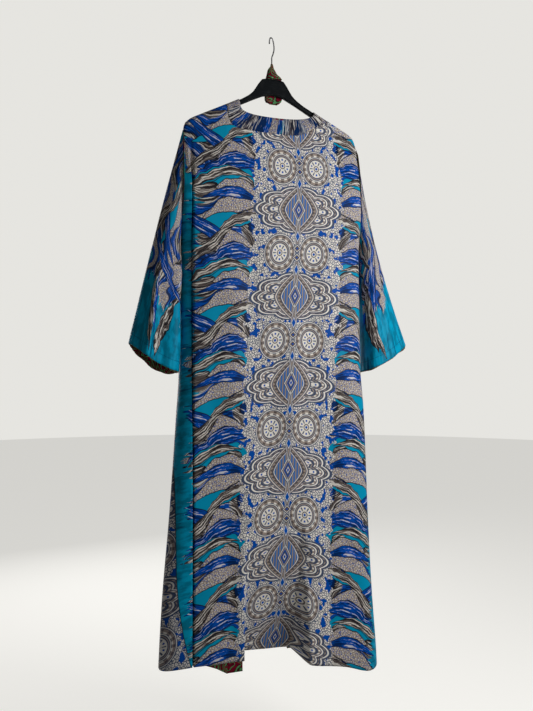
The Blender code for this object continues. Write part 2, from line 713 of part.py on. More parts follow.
def main():
    for obj in list(bpy.data.objects):
        bpy.data.objects.remove(obj, do_unlink=True)
    parts = bpy.data.collections.new("kimono_robe_on_hanger")
    cutters = bpy.data.collections.new("cutters")
    bpy.context.scene.collection.children.link(parts)
    bpy.context.scene.collection.children.link(cutters)

    print_cloth = material("print_cloth", (0.02, 0.16, 0.30), 0.45)
    band_cloth = material("band_cloth", (0.03, 0.09, 0.24), 0.45)
    lining_cloth = material("lining_cloth", (0.19, 0.01, 0.03), 0.5)
    plastic = material("hanger_plastic", (0.012, 0.013, 0.014), 0.4)
    steel = material("hook_steel", (0.45, 0.45, 0.46), 0.25, 1.0)

    front_left = front_grid(1)
    front_right = front_grid(-1)
    sleeve_left = sleeve_grid(1)
    sleeve_right = sleeve_grid(-1)
    back = back_grid()

    sheet_object("back_panel", back, print_cloth, parts, CLOTH, -1)
    sheet_object("front_panel_left", front_left, print_cloth, parts, CLOTH, -1)
    sheet_object("front_panel_right", front_right, print_cloth, parts, CLOTH, -1)
    sheet_object("sleeve_left", sleeve_left, print_cloth, parts, CLOTH, -1, True)
    sheet_object("sleeve_right", sleeve_right, print_cloth, parts, CLOTH, -1, True)
    sheet_object("neckband", band_grid(), band_cloth, parts, CLOTH, -1)
    hem_lining = front_left[-1 - HEM_LINING_STEPS :]
    sheet_object("lining_front_left", hem_lining, lining_cloth, parts, LINING, lining_offset())
    for name, rings in (("lining_cuff_left", sleeve_left), ("lining_cuff_right", sleeve_right)):
        cuff = rings[-1 - CUFF_LINING_STEPS :]
        sheet_object(name, cuff, lining_cloth, parts, LINING, lining_offset(), True)

    hanger_body(plastic, parts, cutters)
    wire_object("hanger_hook", hook_points(), WIRE_RADIUS, steel, parts)
    belt_bundle(lining_cloth, parts)
    belt_loop(lining_cloth, parts)


main()
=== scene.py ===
import math

import bpy
import numpy as np
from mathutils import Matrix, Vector


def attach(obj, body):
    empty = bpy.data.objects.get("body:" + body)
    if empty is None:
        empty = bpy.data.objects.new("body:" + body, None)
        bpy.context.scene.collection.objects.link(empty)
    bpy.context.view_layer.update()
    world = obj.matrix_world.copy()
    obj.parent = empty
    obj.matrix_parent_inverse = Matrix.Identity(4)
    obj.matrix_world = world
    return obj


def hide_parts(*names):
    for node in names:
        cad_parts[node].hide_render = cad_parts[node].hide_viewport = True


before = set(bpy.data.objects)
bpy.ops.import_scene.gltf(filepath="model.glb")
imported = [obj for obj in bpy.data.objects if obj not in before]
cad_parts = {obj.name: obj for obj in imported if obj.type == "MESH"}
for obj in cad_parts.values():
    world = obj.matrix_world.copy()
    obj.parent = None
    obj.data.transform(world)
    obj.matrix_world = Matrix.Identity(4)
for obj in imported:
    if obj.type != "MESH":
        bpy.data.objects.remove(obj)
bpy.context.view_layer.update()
print("frame loaded")


# Working with tables and grids
def bend(keys, values, where):
    # Cubic through the rows; its slope at each row is the flatter-weighted mean of the slopes beside it.
    order = np.argsort(keys)
    keys, values = np.asarray(keys, float)[order], np.asarray(values, float)[order]
    steps = np.diff(keys)
    slopes = np.diff(values) / steps
    sameWay = slopes[1:] * slopes[:-1] > 0
    mean = 2 * slopes[1:] * slopes[:-1] / np.where(sameWay, slopes[1:] + slopes[:-1], 1.0)
    tangents = np.concatenate([slopes[:1], np.where(sameWay, mean, 0.0), slopes[-1:]])
    where = np.clip(np.asarray(where, float), keys[0], keys[-1])
    cell = np.clip(np.searchsorted(keys, where) - 1, 0, len(steps) - 1)
    step, part = steps[cell], (where - keys[cell]) / steps[cell]
    ends = (1 + 2 * part) * (1 - part) ** 2 * values[cell] + part**2 * (3 - 2 * part) * values[cell + 1]
    return ends + step * (part * (1 - part) ** 2 * tangents[cell] - part**2 * (1 - part) * tangents[cell + 1])


def straight(keys, values, where):
    # Straight runs between the rows of a table
    order = np.argsort(keys)
    return np.interp(where, np.asarray(keys, float)[order], np.asarray(values, float)[order])


def ease(value):
    value = np.clip(value, 0.0, 1.0)
    return value * value * (3 - 2 * value)


def refine(values, places):
    # The same cubic through whole steps of the first axis, for a whole block of numbers at once.
    steps = np.diff(values, axis=0)
    before, after = steps[:-1], steps[1:]
    sameWay = before * after > 0
    mean = np.where(sameWay, 2 * before * after / np.where(sameWay, before + after, 1.0), 0.0)
    slopes = np.concatenate([steps[:1], mean, steps[-1:]])
    cell = np.clip(places.astype(int), 0, len(steps) - 1)
    part = (places - cell).reshape((-1,) + (1,) * (values.ndim - 1))
    low, high = values[cell], values[cell + 1]
    ends = (1 + 2 * part) * (1 - part) ** 2 * low + part**2 * (3 - 2 * part) * high
    return ends + part * (1 - part) ** 2 * slopes[cell] - part**2 * (1 - part) * slopes[cell + 1]


def finer(grid, rowsPer, columnsPer, ring=False):
    # More rows and columns between those of a grid, on smooth curves through its points.
    rows = np.arange((len(grid) - 1) * rowsPer + 1) / rowsPer
    grid = refine(grid, rows)
    turned = np.swapaxes(grid, 0, 1)
    if ring:
        count = len(turned)
        turned = np.concatenate([turned[-2:], turned, turned[:3]])
        places = 2 + np.arange(count * columnsPer) / columnsPer
    else:
        places = np.arange((len(turned) - 1) * columnsPer + 1) / columnsPer
    return np.swapaxes(refine(turned, places), 0, 1)


def arcAcross(grid, ring=False):
    # Length along each row from its first column, with the way back to the start added for a ring.
    if ring:
        grid = closed(grid)
    lengths = np.linalg.norm(np.diff(grid, axis=1), axis=2)
    return np.concatenate([np.zeros((len(grid), 1)), np.cumsum(lengths, axis=1)], axis=1)


def closed(values):
    # A ring's values with the first column again at the end, where its UV map ends
    return np.concatenate([values, values[:, :1]], axis=1)


def arcDown(grid):
    return arcAcross(np.swapaxes(grid, 0, 1)).T


def gridNormals(grid, ring=False):
    # Cross product of the steps down and across; ends use one-sided steps, a ring wraps round.
    down = np.gradient(grid, axis=0)
    if ring:
        across = (np.roll(grid, -1, axis=1) - np.roll(grid, 1, axis=1)) / 2
    else:
        across = np.gradient(grid, axis=1)
    normals = np.cross(down, across)
    return normals / np.maximum(np.linalg.norm(normals, axis=2, keepdims=True), 1e-12)


def gridMesh(name, grid, finishes, uv, edgeUv=None, ring=False, wall=0.0007, inset=0.0):
    # Quads between neighbouring grid points, a UV map of cloth places in metres, and a wall on the inner
    # side.
    rows, columns = grid.shape[:2]
    last = columns if ring else columns - 1
    row, number = np.meshgrid(np.arange(rows - 1), np.arange(last), indexing="ij")
    following = (number + 1) % columns
    corners = np.stack([row * columns + number, (row + 1) * columns + number,
                        (row + 1) * columns + following, row * columns + following], axis=-1).reshape(-1, 4)
    mesh = bpy.data.meshes.new(name)
    mesh.vertices.add(rows * columns)
    mesh.vertices.foreach_set("co", grid.reshape(-1).astype(np.float32))
    mesh.loops.add(corners.size)
    mesh.loops.foreach_set("vertex_index", corners.reshape(-1).astype(np.int32))
    mesh.polygons.add(len(corners))
    mesh.polygons.foreach_set("loop_start", (np.arange(len(corners)) * 4).astype(np.int32))
    mesh.update(calc_edges=True)
    width = last + 1
    spots = np.stack([row * width + number, (row + 1) * width + number,
                      (row + 1) * width + number + 1, row * width + number + 1], axis=-1).reshape(-1)
    for layerName, values in (("cloth", uv), ("edge", edgeUv)):
        if values is not None:
            layer = mesh.uv_layers.new(name=layerName)
            layer.data.foreach_set("uv", values.reshape(-1, 2)[spots].reshape(-1).astype(np.float32))
    mesh.validate()
    mesh.shade_smooth()
    piece = bpy.data.objects.new(name, mesh)
    for finish in finishes:
        mesh.materials.append(finish)
    bpy.context.scene.collection.objects.link(piece)
    shell = piece.modifiers.new("wall", "SOLIDIFY")
    shell.thickness = wall
    shell.offset = -1 - 2 * inset / wall
    shell.use_even_offset = False
    shell.material_offset = 1 if len(finishes) > 1 else 0
    return piece


# Cloth form, with the same named sizes as the solids

cloth = {"gap": 0.0001, "wall": 0.0007, "sideY": -0.002, "squareness": 12.0, "roundness": 2.2,
         "land": 0.006, "landDrop": 0.02, "seamDrop": 0.1, "twistReach": 0.26, "shoulderRound": 0.0115,
         "shoulderSpread": 0.16, "armholeFoot": -0.505, "armholeHalf": 0.026, "armholeFullness": 0.7,
         "creaseX": 0.2075, "creaseHalf": 0.007, "upperRows": 10, "lowerRows": 18, "rowGrowth": 1.2,
         "fanLength": 0.45,
         "armDrops": (0.0, 0.00011, 0.00154, 0.0049, 0.0115, 0.028, 0.055, 0.095, 0.150, 0.215)}

sections = {"height": (-0.245, -0.340, -0.505, -0.810, -0.900, -1.140, -1.350, -1.500, -1.560),
            "left": (0.2211, 0.2255, 0.2275, 0.2295, 0.2350, 0.2520, 0.2700, 0.2780, 0.2800),
            "right": (-0.2262, -0.2285, -0.2300, -0.2350, -0.2420, -0.2500, -0.2570, -0.2640, -0.2660),
            "back": (0.036, 0.043, 0.046, 0.049, 0.050, 0.054, 0.061, 0.067, 0.068),
            "twist": (0.000, 0.000, 0.000, 0.002, 0.004, 0.010, 0.020, 0.030, 0.032),
            "front": (0.032, 0.037, 0.040, 0.042, 0.043, 0.043, 0.048, 0.052, 0.054)}

shoulder = {"across": (0.2211, 0.2195, 0.2150, 0.2090, 0.2040, 0.1980, 0.1200, -0.1475, -0.2020, -0.2080,
                       -0.2135, -0.2195, -0.2245, -0.2262),
            "height": (-0.2451, -0.2355, -0.2265, -0.2200, -0.2160, -0.2122, -0.1738, -0.1854, -0.2122,
                       -0.2160, -0.2200, -0.2275, -0.2385, -0.2495)}

neck = {"across": (0.1200, 0.1195, 0.1185, 0.1172, 0.1152, 0.1095, 0.0950, 0.0600, 0.0230, -0.0135, -0.0500,
                   -0.0800, -0.1080, -0.1300, -0.1430, -0.1460, -0.1475),
        "height": (-0.1738, -0.1756, -0.1795, -0.1880, -0.2040, -0.2200, -0.2300, -0.2345, -0.2358, -0.2362,
                   -0.2355, -0.2275, -0.2110, -0.1985, -0.1905, -0.1870, -0.1854),
        "edgeAcross": (0.0860, 0.0859, 0.0857, 0.0850, 0.0832, 0.0790, 0.0690, 0.0480, 0.0190, -0.0120,
                       -0.0430, -0.0680, -0.0880, -0.1020, -0.1082, -0.1096, -0.1100),
        "edgeBack": (0.0000, 0.0058, 0.0094, 0.0115, 0.0118, 0.0120, 0.0122, 0.0125, 0.0128, 0.0128, 0.0128,
                     0.0125, 0.0122, 0.0118, 0.0094, 0.0058, 0.0000),
        "edgeHeight": (-0.1567, -0.1582, -0.1616, -0.1685, -0.1765, -0.1840, -0.1890, -0.1935, -0.1955,
                       -0.1960, -0.1950, -0.1925, -0.1880, -0.1815, -0.1719, -0.1684, -0.1669)}

band = {"width": 0.040, "hemLeft": 0.100, "hemRight": -0.100, "topZ": -0.17, "run": 1.33, "lean": 0.8,
        "settle": 0.12, "offArmZ": -0.205, "armGap": 0.0010, "armFade": 0.01,
        "middleX": -0.0135, "printAt": 0.1415, "rowsPer": 4, "columnsPer": 4}

backPanel = {"railIndex": (0, 1, 4, 6, 8, 12, 14, 17, 21, 25, 26, 27, 29),
             "railHem": (0.2075, 0.2005, 0.1250, 0.0930, 0.0700, -0.0300, -0.0480, -0.0700, -0.1600, -0.2380,
                         -0.2540, -0.2620, -0.2640),
             "strip": (1.0, 1.0, 0.86, 0.45, 0.0), "stepsLeft": 4, "stepsRight": 5,
             "nearSide": (0.90, 0.97, 1.0, 1.0),
             "hemAcross": (0.278, 0.2075, 0.150, 0.092, 0.070, -0.047, -0.070, -0.154, -0.220, -0.264),
             "hemHeight": (-1.497, -1.486, -1.484, -1.483, -1.490, -1.493, -1.507, -1.520, -1.536, -1.528),
             "rowsPer": 8, "columnsPer": 4}

frontPanel = {"steps": 10, "sideHemLeft": 0.278, "sideHemRight": -0.264,
              "hemAcross": (0.278, 0.200, 0.160, 0.120, 0.095, 0.060, -0.060, -0.100, -0.264),
              "hemHeight": (-1.497, -1.511, -1.521, -1.540, -1.552, -1.552, -1.513, -1.514, -1.528),
              "curlDepth": 0.014, "curlHeight": 0.12, "curlTop": -1.43, "curlFrom": 0.17, "curlSpread": 0.12,
              "rowsPer": 8, "columnsPer": 8, "liningSteps": 4}

# Large folds: panel, left foot, left lip, right foot, right lip, depth, top, full, growth
folds = (("back", 0.0715, 0.0900, -0.0490, -0.0690, 0.086, -1.13, -1.50, 2.0),
         ("back", 0.2085, 0.2145, 0.2065, 0.2005, 0.011, -0.27, -0.36, 1.0),
         ("front", 0.165, 0.205, 0.155, 0.120, 0.012, -0.35, -0.95, 1.0),
         ("front", -0.175, -0.150, -0.185, -0.215, 0.012, -0.40, -1.00, 1.0))


def section(name, z):
    return bend(sections["height"], sections[name], z)


def shoulderHeight(x):
    return straight(shoulder["across"], shoulder["height"], x)


def sideSeamY(z):
    return cloth["sideY"] * ease((shoulder["height"][0] - z) / cloth["seamDrop"])


def armholeHalf(z):
    # Half a lens between the shoulder and the armhole's foot: a sine to a power.
    part = np.clip((z - cloth["armholeFoot"]) / (shoulder["height"][0] - cloth["armholeFoot"]), 0.0, 1.0)
    return cloth["armholeHalf"] * np.sin(math.pi * part) ** cloth["armholeFullness"]


def foldDepth(panel, x, z):
    # Each fold is an eased step down from its left lip times one from its right lip, grown with the drop.
    total = np.zeros(np.broadcast(x, z).shape)
    for which, leftFoot, leftLip, rightFoot, rightLip, depth, top, full, growth in folds:
        if which == panel:
            grown = np.minimum(np.maximum((top - z) / (top - full), 0.0) ** growth, 1.05)
            fromLeft = ease((leftLip - x) / (leftLip - leftFoot))
            total = total + depth * grown * fromLeft * ease((x - rightLip) / (rightFoot - rightLip))
    return total


def bodyDepth(panel, x, z):
    # Distance from the hanger's plane: a squarish round section, eased in below the shoulder's rounding.
    left, right = section("left", z), section("right", z)
    middle = (left + right) / 2
    across = np.clip(np.abs(x - middle) / ((left - right) / 2), 0.0, 1.0)
    flatness = (1 - across ** cloth["squareness"]) ** (1 / cloth["roundness"])
    full = section(panel, z)
    if panel == "back":
        full = full - section("twist", z) * (x - middle) / cloth["twistReach"]
    outward = 1.0 if panel == "back" else -1.0
    edge = armholeHalf(z) + cloth["gap"] / 2 + outward * sideSeamY(z)
    drop = np.maximum(shoulderHeight(x) - z, 0.0)
    cap = cloth["shoulderRound"] * np.sqrt(1 - (1 - np.clip(drop / cloth["shoulderRound"], 0, 1)) ** 2)
    spread = cloth["gap"] / 2 + cap + ease(drop / cloth["shoulderSpread"]) * (full - cloth["shoulderRound"])
    return edge + (np.maximum(spread, edge) - edge) * flatness - foldDepth(panel, x, z)


def sideLand(panel, z):
    outward = 1.0 if panel == "back" else -1.0
    edge = armholeHalf(z) + cloth["gap"] / 2 + outward * sideSeamY(z)
    return edge + cloth["land"] * ease(np.maximum(shoulder["height"][0] - z, 0.0) / cloth["landDrop"])


def rowHeights(top, hem, overArm):
    # Rows below each column's top: close together over the arm, even elsewhere, then down to its hem.
    steps = (np.arange(cloth["upperRows"] + 1) / cloth["upperRows"])[:, None]
    reach = top - cloth["armholeFoot"]
    even = steps ** cloth["rowGrowth"] * reach
    rounded = np.concatenate([np.array(cloth["armDrops"])[:, None] + 0 * reach[None], reach[None]])
    lower = (np.arange(1, cloth["lowerRows"] + 1) / cloth["lowerRows"])[:, None]
    foot = cloth["armholeFoot"]
    return np.concatenate([top - (even + (rounded - even) * overArm), foot + (hem - foot) * lower])


def backGrid():
    # Across: side strip, crease, shoulder, neck, shoulder, side.
    # Down: from the shoulder to the hem on hanging, fanned columns.
    lipX = cloth["creaseX"] + cloth["creaseHalf"]
    neckX = np.array(neck["across"])
    strip = np.array(backPanel["strip"])
    stripTop = lipX + (shoulder["across"][0] - lipX) * strip
    leftTop = np.append([cloth["creaseX"]], np.linspace(cloth["creaseX"] - cloth["creaseHalf"], neckX[0],
                                                        backPanel["stepsLeft"] + 1)[:-1])
    shares = np.append(np.linspace(0, 1, backPanel["stepsRight"] + 1)[1:-1], backPanel["nearSide"])
    rightTop = neckX[-1] + (shoulder["across"][-1] - neckX[-1]) * shares
    topX = np.concatenate([stripTop, leftTop, neckX, rightTop])
    topZ = shoulderHeight(topX)
    first = len(stripTop) + len(leftTop)
    after = first + len(neckX)
    topZ[first:after] = neck["height"]
    # 1 where the cloth rounds over the arm, less round the neck and 0 at the side edges
    overArm = np.ones(len(topX))
    overArm[first + 1 : after - 1] = 0.0
    overArm[[first + 1, after - 2]] = 1.0
    overArm[[first + 2, after - 3]] = 0.7
    overArm[[0, 1, -2, -1]] = 0.0
    rail = np.arange(len(topX)) - len(strip)
    endX = straight(backPanel["railIndex"], backPanel["railHem"], rail)
    endX[: len(strip)] = lipX + (frontPanel["sideHemLeft"] - lipX) * strip
    hemZ = bend(backPanel["hemAcross"], backPanel["hemHeight"], endX)
    z = rowHeights(topZ, hemZ, overArm)
    reach = (cloth["creaseX"] - endX) / (cloth["creaseX"] - frontPanel["sideHemRight"])
    hanging = cloth["creaseX"] - (cloth["creaseX"] - section("right", z)) * reach
    x = topX + (hanging - topX) * ease((z[0] - z) / cloth["fanLength"])
    x[:, : len(strip)] = lipX + (section("left", z[:, : len(strip)]) - lipX) * strip
    x[:, len(strip) : len(strip) + 2] = endX[len(strip) : len(strip) + 2]
    x[:, -2:] = section("right", z[:, -2:])
    y = bodyDepth("back", x, z)
    y[:, [1, -2]] = sideLand("back", z[:, [1, -2]])
    return np.stack([x, y, z], axis=2)


def seamAcross(side, z):
    start = neck["across"][0] if side > 0 else neck["across"][-1]
    end = band["hemLeft"] if side > 0 else band["hemRight"]
    return start + (end - start) * ease((band["topZ"] - z) / band["run"]) ** band["lean"]


def frontCurl(side, x, z):
    # The left front's lower corner comes in towards the back: an ease across times an ease down.
    curl = frontPanel["curlDepth"] * ease((frontPanel["curlFrom"] - x) / frontPanel["curlSpread"])
    return curl * ease((frontPanel["curlTop"] - z) / frontPanel["curlHeight"]) * (1.0 if side > 0 else 0.0)


def frontGrid(side):
    # Across from the side to the band's seam, and down from the shoulder; the left lower corner curls in.
    left = side > 0
    shoulderX = shoulder["across"][0] if left else shoulder["across"][-1]
    neckX = neck["across"][0] if left else neck["across"][-1]
    sideHem = frontPanel["sideHemLeft"] if left else frontPanel["sideHemRight"]
    seamHem = band["hemLeft"] if left else band["hemRight"]
    shares = np.append(1 - np.array(backPanel["nearSide"][::-1]),
                       np.linspace(0, 1, frontPanel["steps"] + 1)[2:])
    topZ = shoulderHeight(shoulderX + (neckX - shoulderX) * shares)
    hemZ = bend(frontPanel["hemAcross"], frontPanel["hemHeight"], sideHem + (seamHem - sideHem) * shares)
    z = rowHeights(topZ, hemZ, np.where(np.arange(len(shares)) <= 1, 0.0, 1.0))
    sideX = section("left" if left else "right", z)
    x = sideX + (seamAcross(side, z) - sideX) * shares
    depth = bodyDepth("front", x, z)
    depth[:, 1] = sideLand("front", z[:, 1])
    grid = np.stack([x, frontCurl(side, x, z) - depth, z], axis=2)
    return grid[:, ::-1] if left else grid


def bandGrid():
    # From the left hem over the shoulder, round the neck and down to the right hem, free edge first.
    rows = []
    for side in (1, -1):
        spot = 0 if side > 0 else -1
        panel = frontGrid(side)
        seam = panel[1:, 0] if side > 0 else panel[1:, -1]
        settled = ease((neck["height"][spot] - seam[:, 2]) / band["settle"])[:, None]
        atArm = np.array([neck["edgeAcross"][spot] - neck["across"][spot], 0.0,
                          neck["edgeHeight"][spot] - neck["height"][spot]])
        hanging = np.array([-side * band["width"], 0.0, 0.0])
        rows.append((seam, seam + atArm * (1 - settled) + hanging * settled))
    neckX, neckZ = np.array(neck["across"]), np.array(neck["height"])
    neckY = bodyDepth("back", neckX, neckZ)
    neckY[[0, -1]] = 0.0
    neckSeam = np.stack([neckX, neckY, neckZ], axis=1)
    neckEdge = np.stack([neck["edgeAcross"], neck["edgeBack"], neck["edgeHeight"]], axis=1)
    seam = np.concatenate([rows[0][0][::-1], neckSeam, rows[1][0]])
    free = np.concatenate([rows[0][1][::-1], neckEdge, rows[1][1]])
    across = free - seam
    overArm = ease((seam[:, 2] - band["offArmZ"]) / band["armFade"])[:, None]
    unit = across / np.linalg.norm(across, axis=1, keepdims=True)
    start = seam + unit * (cloth["gap"] + band["armGap"] * overArm)
    return np.stack([free, (start + free) / 2, start], axis=0)


sleeve = {"steps": 12, "outsideLow": -0.460, "outsideFade": 0.05, "bowSharpness": 1.5, "rowsPer": 8,
          "columnsPer": 6, "liningSteps": 2, "bowLeft": 0.003, "bowRight": -0.015,
          "place": (0.00, 0.10, 0.20, 0.30, 0.40, 0.50, 0.60, 0.72, 0.84, 0.93)}

cuffLeft = {"across": (0.347, 0.336, 0.320, 0.286, 0.254, 0.2425, 0.250, 0.280, 0.314, 0.337),
            "back": (-0.005, 0.030, 0.047, 0.040, 0.026, -0.010, -0.050, -0.074, -0.064, -0.036),
            "height": (-0.7435, -0.7550, -0.7690, -0.7880, -0.8055, -0.8110, -0.8130, -0.8010, -0.7720,
                       -0.7520)}

cuffRight = {"across": (-0.364, -0.345, -0.318, -0.285, -0.256, -0.2470, -0.255, -0.292, -0.330, -0.356),
             "back": (0.012, 0.030, 0.044, 0.050, 0.036, -0.010, -0.050, -0.074, -0.060, -0.028),
             "height": (-0.7450, -0.7580, -0.7730, -0.7900, -0.8040, -0.8130, -0.8150, -0.8030, -0.7800,
                        -0.7570)}


def armholeRing(side):
    # Down the back's edge of the armhole and up the front's edge, a little outside them near the top.
    top = np.array([shoulder["height"][0] if side > 0 else shoulder["height"][-1]])
    z = rowHeights(top, np.array([cloth["armholeFoot"]]), np.zeros(1))[: cloth["upperRows"] + 1, 0]
    outside = cloth["wall"] * ease((z - sleeve["outsideLow"]) / sleeve["outsideFade"])
    x = section("left" if side > 0 else "right", z) + side * (cloth["gap"] + outside)
    half = armholeHalf(z)
    rear = np.stack([x, sideSeamY(z) + half, z], axis=1)
    fore = np.stack([x, sideSeamY(z) - half, z], axis=1)
    return np.concatenate([rear, fore[-2:0:-1]])


def sleeveGrid(side):
    # Straight runs from the armhole's ring to the cuff's ring, bowed along the upper edge.
    start = armholeRing(side)
    cuff = cuffLeft if side > 0 else cuffRight
    keys = np.array(sleeve["place"])
    keys = np.concatenate([keys[-3:] - 1, keys, keys[:3] + 1])
    places = np.arange(len(start)) / len(start)
    rows = [bend(keys, cuff[name][-3:] + cuff[name] + cuff[name][:3], places)
            for name in ("across", "back", "height")]
    end = np.stack(rows, axis=1)
    along = np.linspace(0, 1, sleeve["steps"] + 1)[:, None, None]
    rings = start + (end - start) * along
    upper = np.maximum(np.cos(2 * math.pi * places), 0.0) ** sleeve["bowSharpness"]
    bow = sleeve["bowLeft"] if side > 0 else sleeve["bowRight"]
    rings[:, :, 0] += side * bow * upper * np.sin(math.pi * along[:, :, 0])
    return rings if side > 0 else rings[:, ::-1]


# Finishes: arithmetic that adds nodes to a shader

class Number:
    # A number inside a shader tree; +, -, *, / and the calls below add Math nodes.
    def __init__(self, tree, socket):
        self.tree, self.socket = tree, socket

    def node(self, operation, *others):
        made = self.tree.nodes.new("ShaderNodeMath")
        made.operation = operation
        for place, value in enumerate((self,) + others):
            if isinstance(value, Number):
                self.tree.links.new(value.socket, made.inputs[place])
            else:
                made.inputs[place].default_value = value
        return Number(self.tree, made.outputs[0])

    def __add__(self, other):
        return self.node("ADD", other)

    def __sub__(self, other):
        return self.node("SUBTRACT", other)

    def __mul__(self, other):
        return self.node("MULTIPLY", other)

    def __truediv__(self, other):
        return self.node("DIVIDE", other)

    def less(self, start):
        return (self * -1.0) + start  # start minus this number

    def size(self):
        return self.node("ABSOLUTE")

    def sine(self):
        return self.node("SINE")

    def fraction(self):
        return self.node("FRACT")

    def most(self, other):
        return self.node("MAXIMUM", other)

    def above(self, edge, soft):
        # 0 below the edge, 1 above it, eased over twice the softness
        made = self.tree.nodes.new("ShaderNodeMapRange")
        made.interpolation_type = "SMOOTHSTEP"
        self.tree.links.new(self.socket, made.inputs["Value"])
        for name, limit in (("From Min", -soft), ("From Max", soft)):
            if isinstance(edge, Number):
                self.tree.links.new((edge + limit).socket, made.inputs[name])
            else:
                made.inputs[name].default_value = edge + limit
        return Number(self.tree, made.outputs["Result"])

    def below(self, edge, soft):
        return self.above(edge, soft).less(1.0)

    def within(self, low, high, soft):
        return self.above(low, soft) * self.below(high, soft)

    def wave(self, length, shift=0.0):
        # A triangle wave between 0 at whole lengths and 1 halfway
        return ((self / length + shift).fraction() - 0.5).size().less(0.5) * 2.0


def hypotenuse(one, two):
    return (one * one + two * two).node("SQRT")


def place(tree, x, y, z=0.0):
    made = tree.nodes.new("ShaderNodeCombineXYZ")
    for slot, value in enumerate((x, y, z)):
        if isinstance(value, Number):
            tree.links.new(value.socket, made.inputs[slot])
        else:
            made.inputs[slot].default_value = value
    return made.outputs[0]


class Group:
    # A node group made once: build gets the group's inputs by name and returns its colour
    def __init__(self, name, colours, numbers, build):
        self.tree = bpy.data.node_groups.new(name, "ShaderNodeTree")
        for word in colours:
            self.tree.interface.new_socket(word, in_out="INPUT", socket_type="NodeSocketColor")
        for word in numbers:
            self.tree.interface.new_socket(word, in_out="INPUT", socket_type="NodeSocketFloat")
        self.tree.interface.new_socket("colour", in_out="OUTPUT", socket_type="NodeSocketColor")
        given = self.tree.nodes.new("NodeGroupInput").outputs
        inputs = {word: given[word] for word in colours}
        inputs.update({word: Number(self.tree, given[word]) for word in numbers})
        colour = build(self.tree, **inputs)
        self.tree.links.new(colour, self.tree.nodes.new("NodeGroupOutput").inputs["colour"])

    def into(self, tree, **values):
        made = tree.nodes.new("ShaderNodeGroup")
        made.node_tree = self.tree
        for word, value in values.items():
            if isinstance(value, (tuple, str)):
                made.inputs[word].default_value = shade(value)
            elif isinstance(value, float):
                made.inputs[word].default_value = value
            else:
                tree.links.new(value.socket if isinstance(value, Number) else value, made.inputs[word])
        return made.outputs["colour"]


def grain(tree, x, y, detail=2.0, rough=0.5, z=None):
    # Soft noise over two or three coordinates, about 0 to 1
    made = tree.nodes.new("ShaderNodeTexNoise")
    made.noise_dimensions = "2D" if z is None else "3D"
    made.inputs["Scale"].default_value = 1.0
    made.inputs["Detail"].default_value = detail
    made.inputs["Roughness"].default_value = rough
    tree.links.new(place(tree, x, y, 0.0 if z is None else z), made.inputs["Vector"])
    return Number(tree, made.outputs[0])


def looped(tree, x, turn, pitch, detail=2.0, seed=0.0):
    # Noise that comes back with each repeat of the print: the height runs round a circle one repeat long.
    rim = printDesign["period"] * pitch / (2 * math.pi)
    angle = turn * (2 * math.pi)
    return grain(tree, x * pitch + seed, angle.sine() * rim, detail, 0.5, (angle + math.pi / 2).sine() * rim)


def cells(tree, x, y, feature="F1"):
    # Distance to scattered points, or to the borders between their cells
    made = tree.nodes.new("ShaderNodeTexVoronoi")
    made.voronoi_dimensions = "2D"
    made.feature = feature
    made.inputs["Scale"].default_value = 1.0
    tree.links.new(place(tree, x, y), made.inputs["Vector"])
    return Number(tree, made.outputs["Distance"])


def shade(colour):
    # A dye's name, or an sRGB colour of 0 to 255, as linear light
    rows = [value / 255 for value in (dyes[colour] if isinstance(colour, str) else colour)]
    return tuple(value / 12.92 if value <= 0.04045 else ((value + 0.055) / 1.055) ** 2.4
                 for value in rows) + (1.0,)


def ramp(number, stops):
    # Bands of plain colour, each from its own place on
    made = number.tree.nodes.new("ShaderNodeValToRGB")
    made.color_ramp.interpolation = "CONSTANT"
    steps = made.color_ramp.elements
    while len(steps) < len(stops):
        steps.new(0.5)
    for step, (position, colour) in zip(steps, stops):
        step.position = position
        step.color = shade(colour)
    number.tree.links.new(number.socket, made.inputs[0])
    return made.outputs["Color"]


def paint(tree, under, over, mask):
    # The colour over on the colour under where the mask is 1
    made = tree.nodes.new("ShaderNodeMix")
    made.data_type = "RGBA"
    tree.links.new(mask.socket, made.inputs["Factor"])
    for slot, value in (("A", under), ("B", over)):
        socket = [one for one in made.inputs if one.identifier == slot + "_Color"][0]
        if isinstance(value, (tuple, str)):
            socket.default_value = shade(value)
        else:
            tree.links.new(value, socket)
    return [one for one in made.outputs if one.identifier == "Result_Color"][0]


def newMaterial(name, colour, roughness, metallic=0.0):
    made = bpy.data.materials.new(name)
    made.use_nodes = True
    shader = made.node_tree.nodes["Principled BSDF"]
    shader.inputs["Base Color"].default_value = (*colour, 1.0)
    shader.inputs["Roughness"].default_value = roughness
    shader.inputs["Metallic"].default_value = metallic
    return made


def uvNumbers(tree, name):
    made = tree.nodes.new("ShaderNodeUVMap")
    made.uv_map = name
    parts = tree.nodes.new("ShaderNodeSeparateXYZ")
    tree.links.new(made.outputs[0], parts.inputs[0])
    return Number(tree, parts.outputs[0]), Number(tree, parts.outputs[1])


dyes = {"teal": (0, 152, 192), "royal": (0, 80, 178), "navy": (4, 40, 88), "sky": (62, 122, 200),
        "taupe": (164, 150, 140), "cream": (246, 241, 232), "slate": (74, 86, 112), "brown": (102, 92, 88),
        "black": (26, 28, 36), "crimson": (122, 10, 40), "green": (84, 146, 92), "wine": (46, 8, 20)}

# How the print is set out on the cloth: lengths in metres, slopes, and the rows' droop towards the sides
printDesign = {"period": 0.2075, "firstPair": -0.3183, "backPlainFrom": 0.268, "backPlainSlope": 0.040,
               "sleevePlainFrom": 0.350, "sleevePlainSlope": 0.35, "widening": 0.5, "wideningFrom": 0.03,
               "leafRipple": 0.012,
               "droop": 0.033, "droopAt": 0.15, "droopPower": 1.3, "droopOver": 1.03, "droopMost": 1.3}

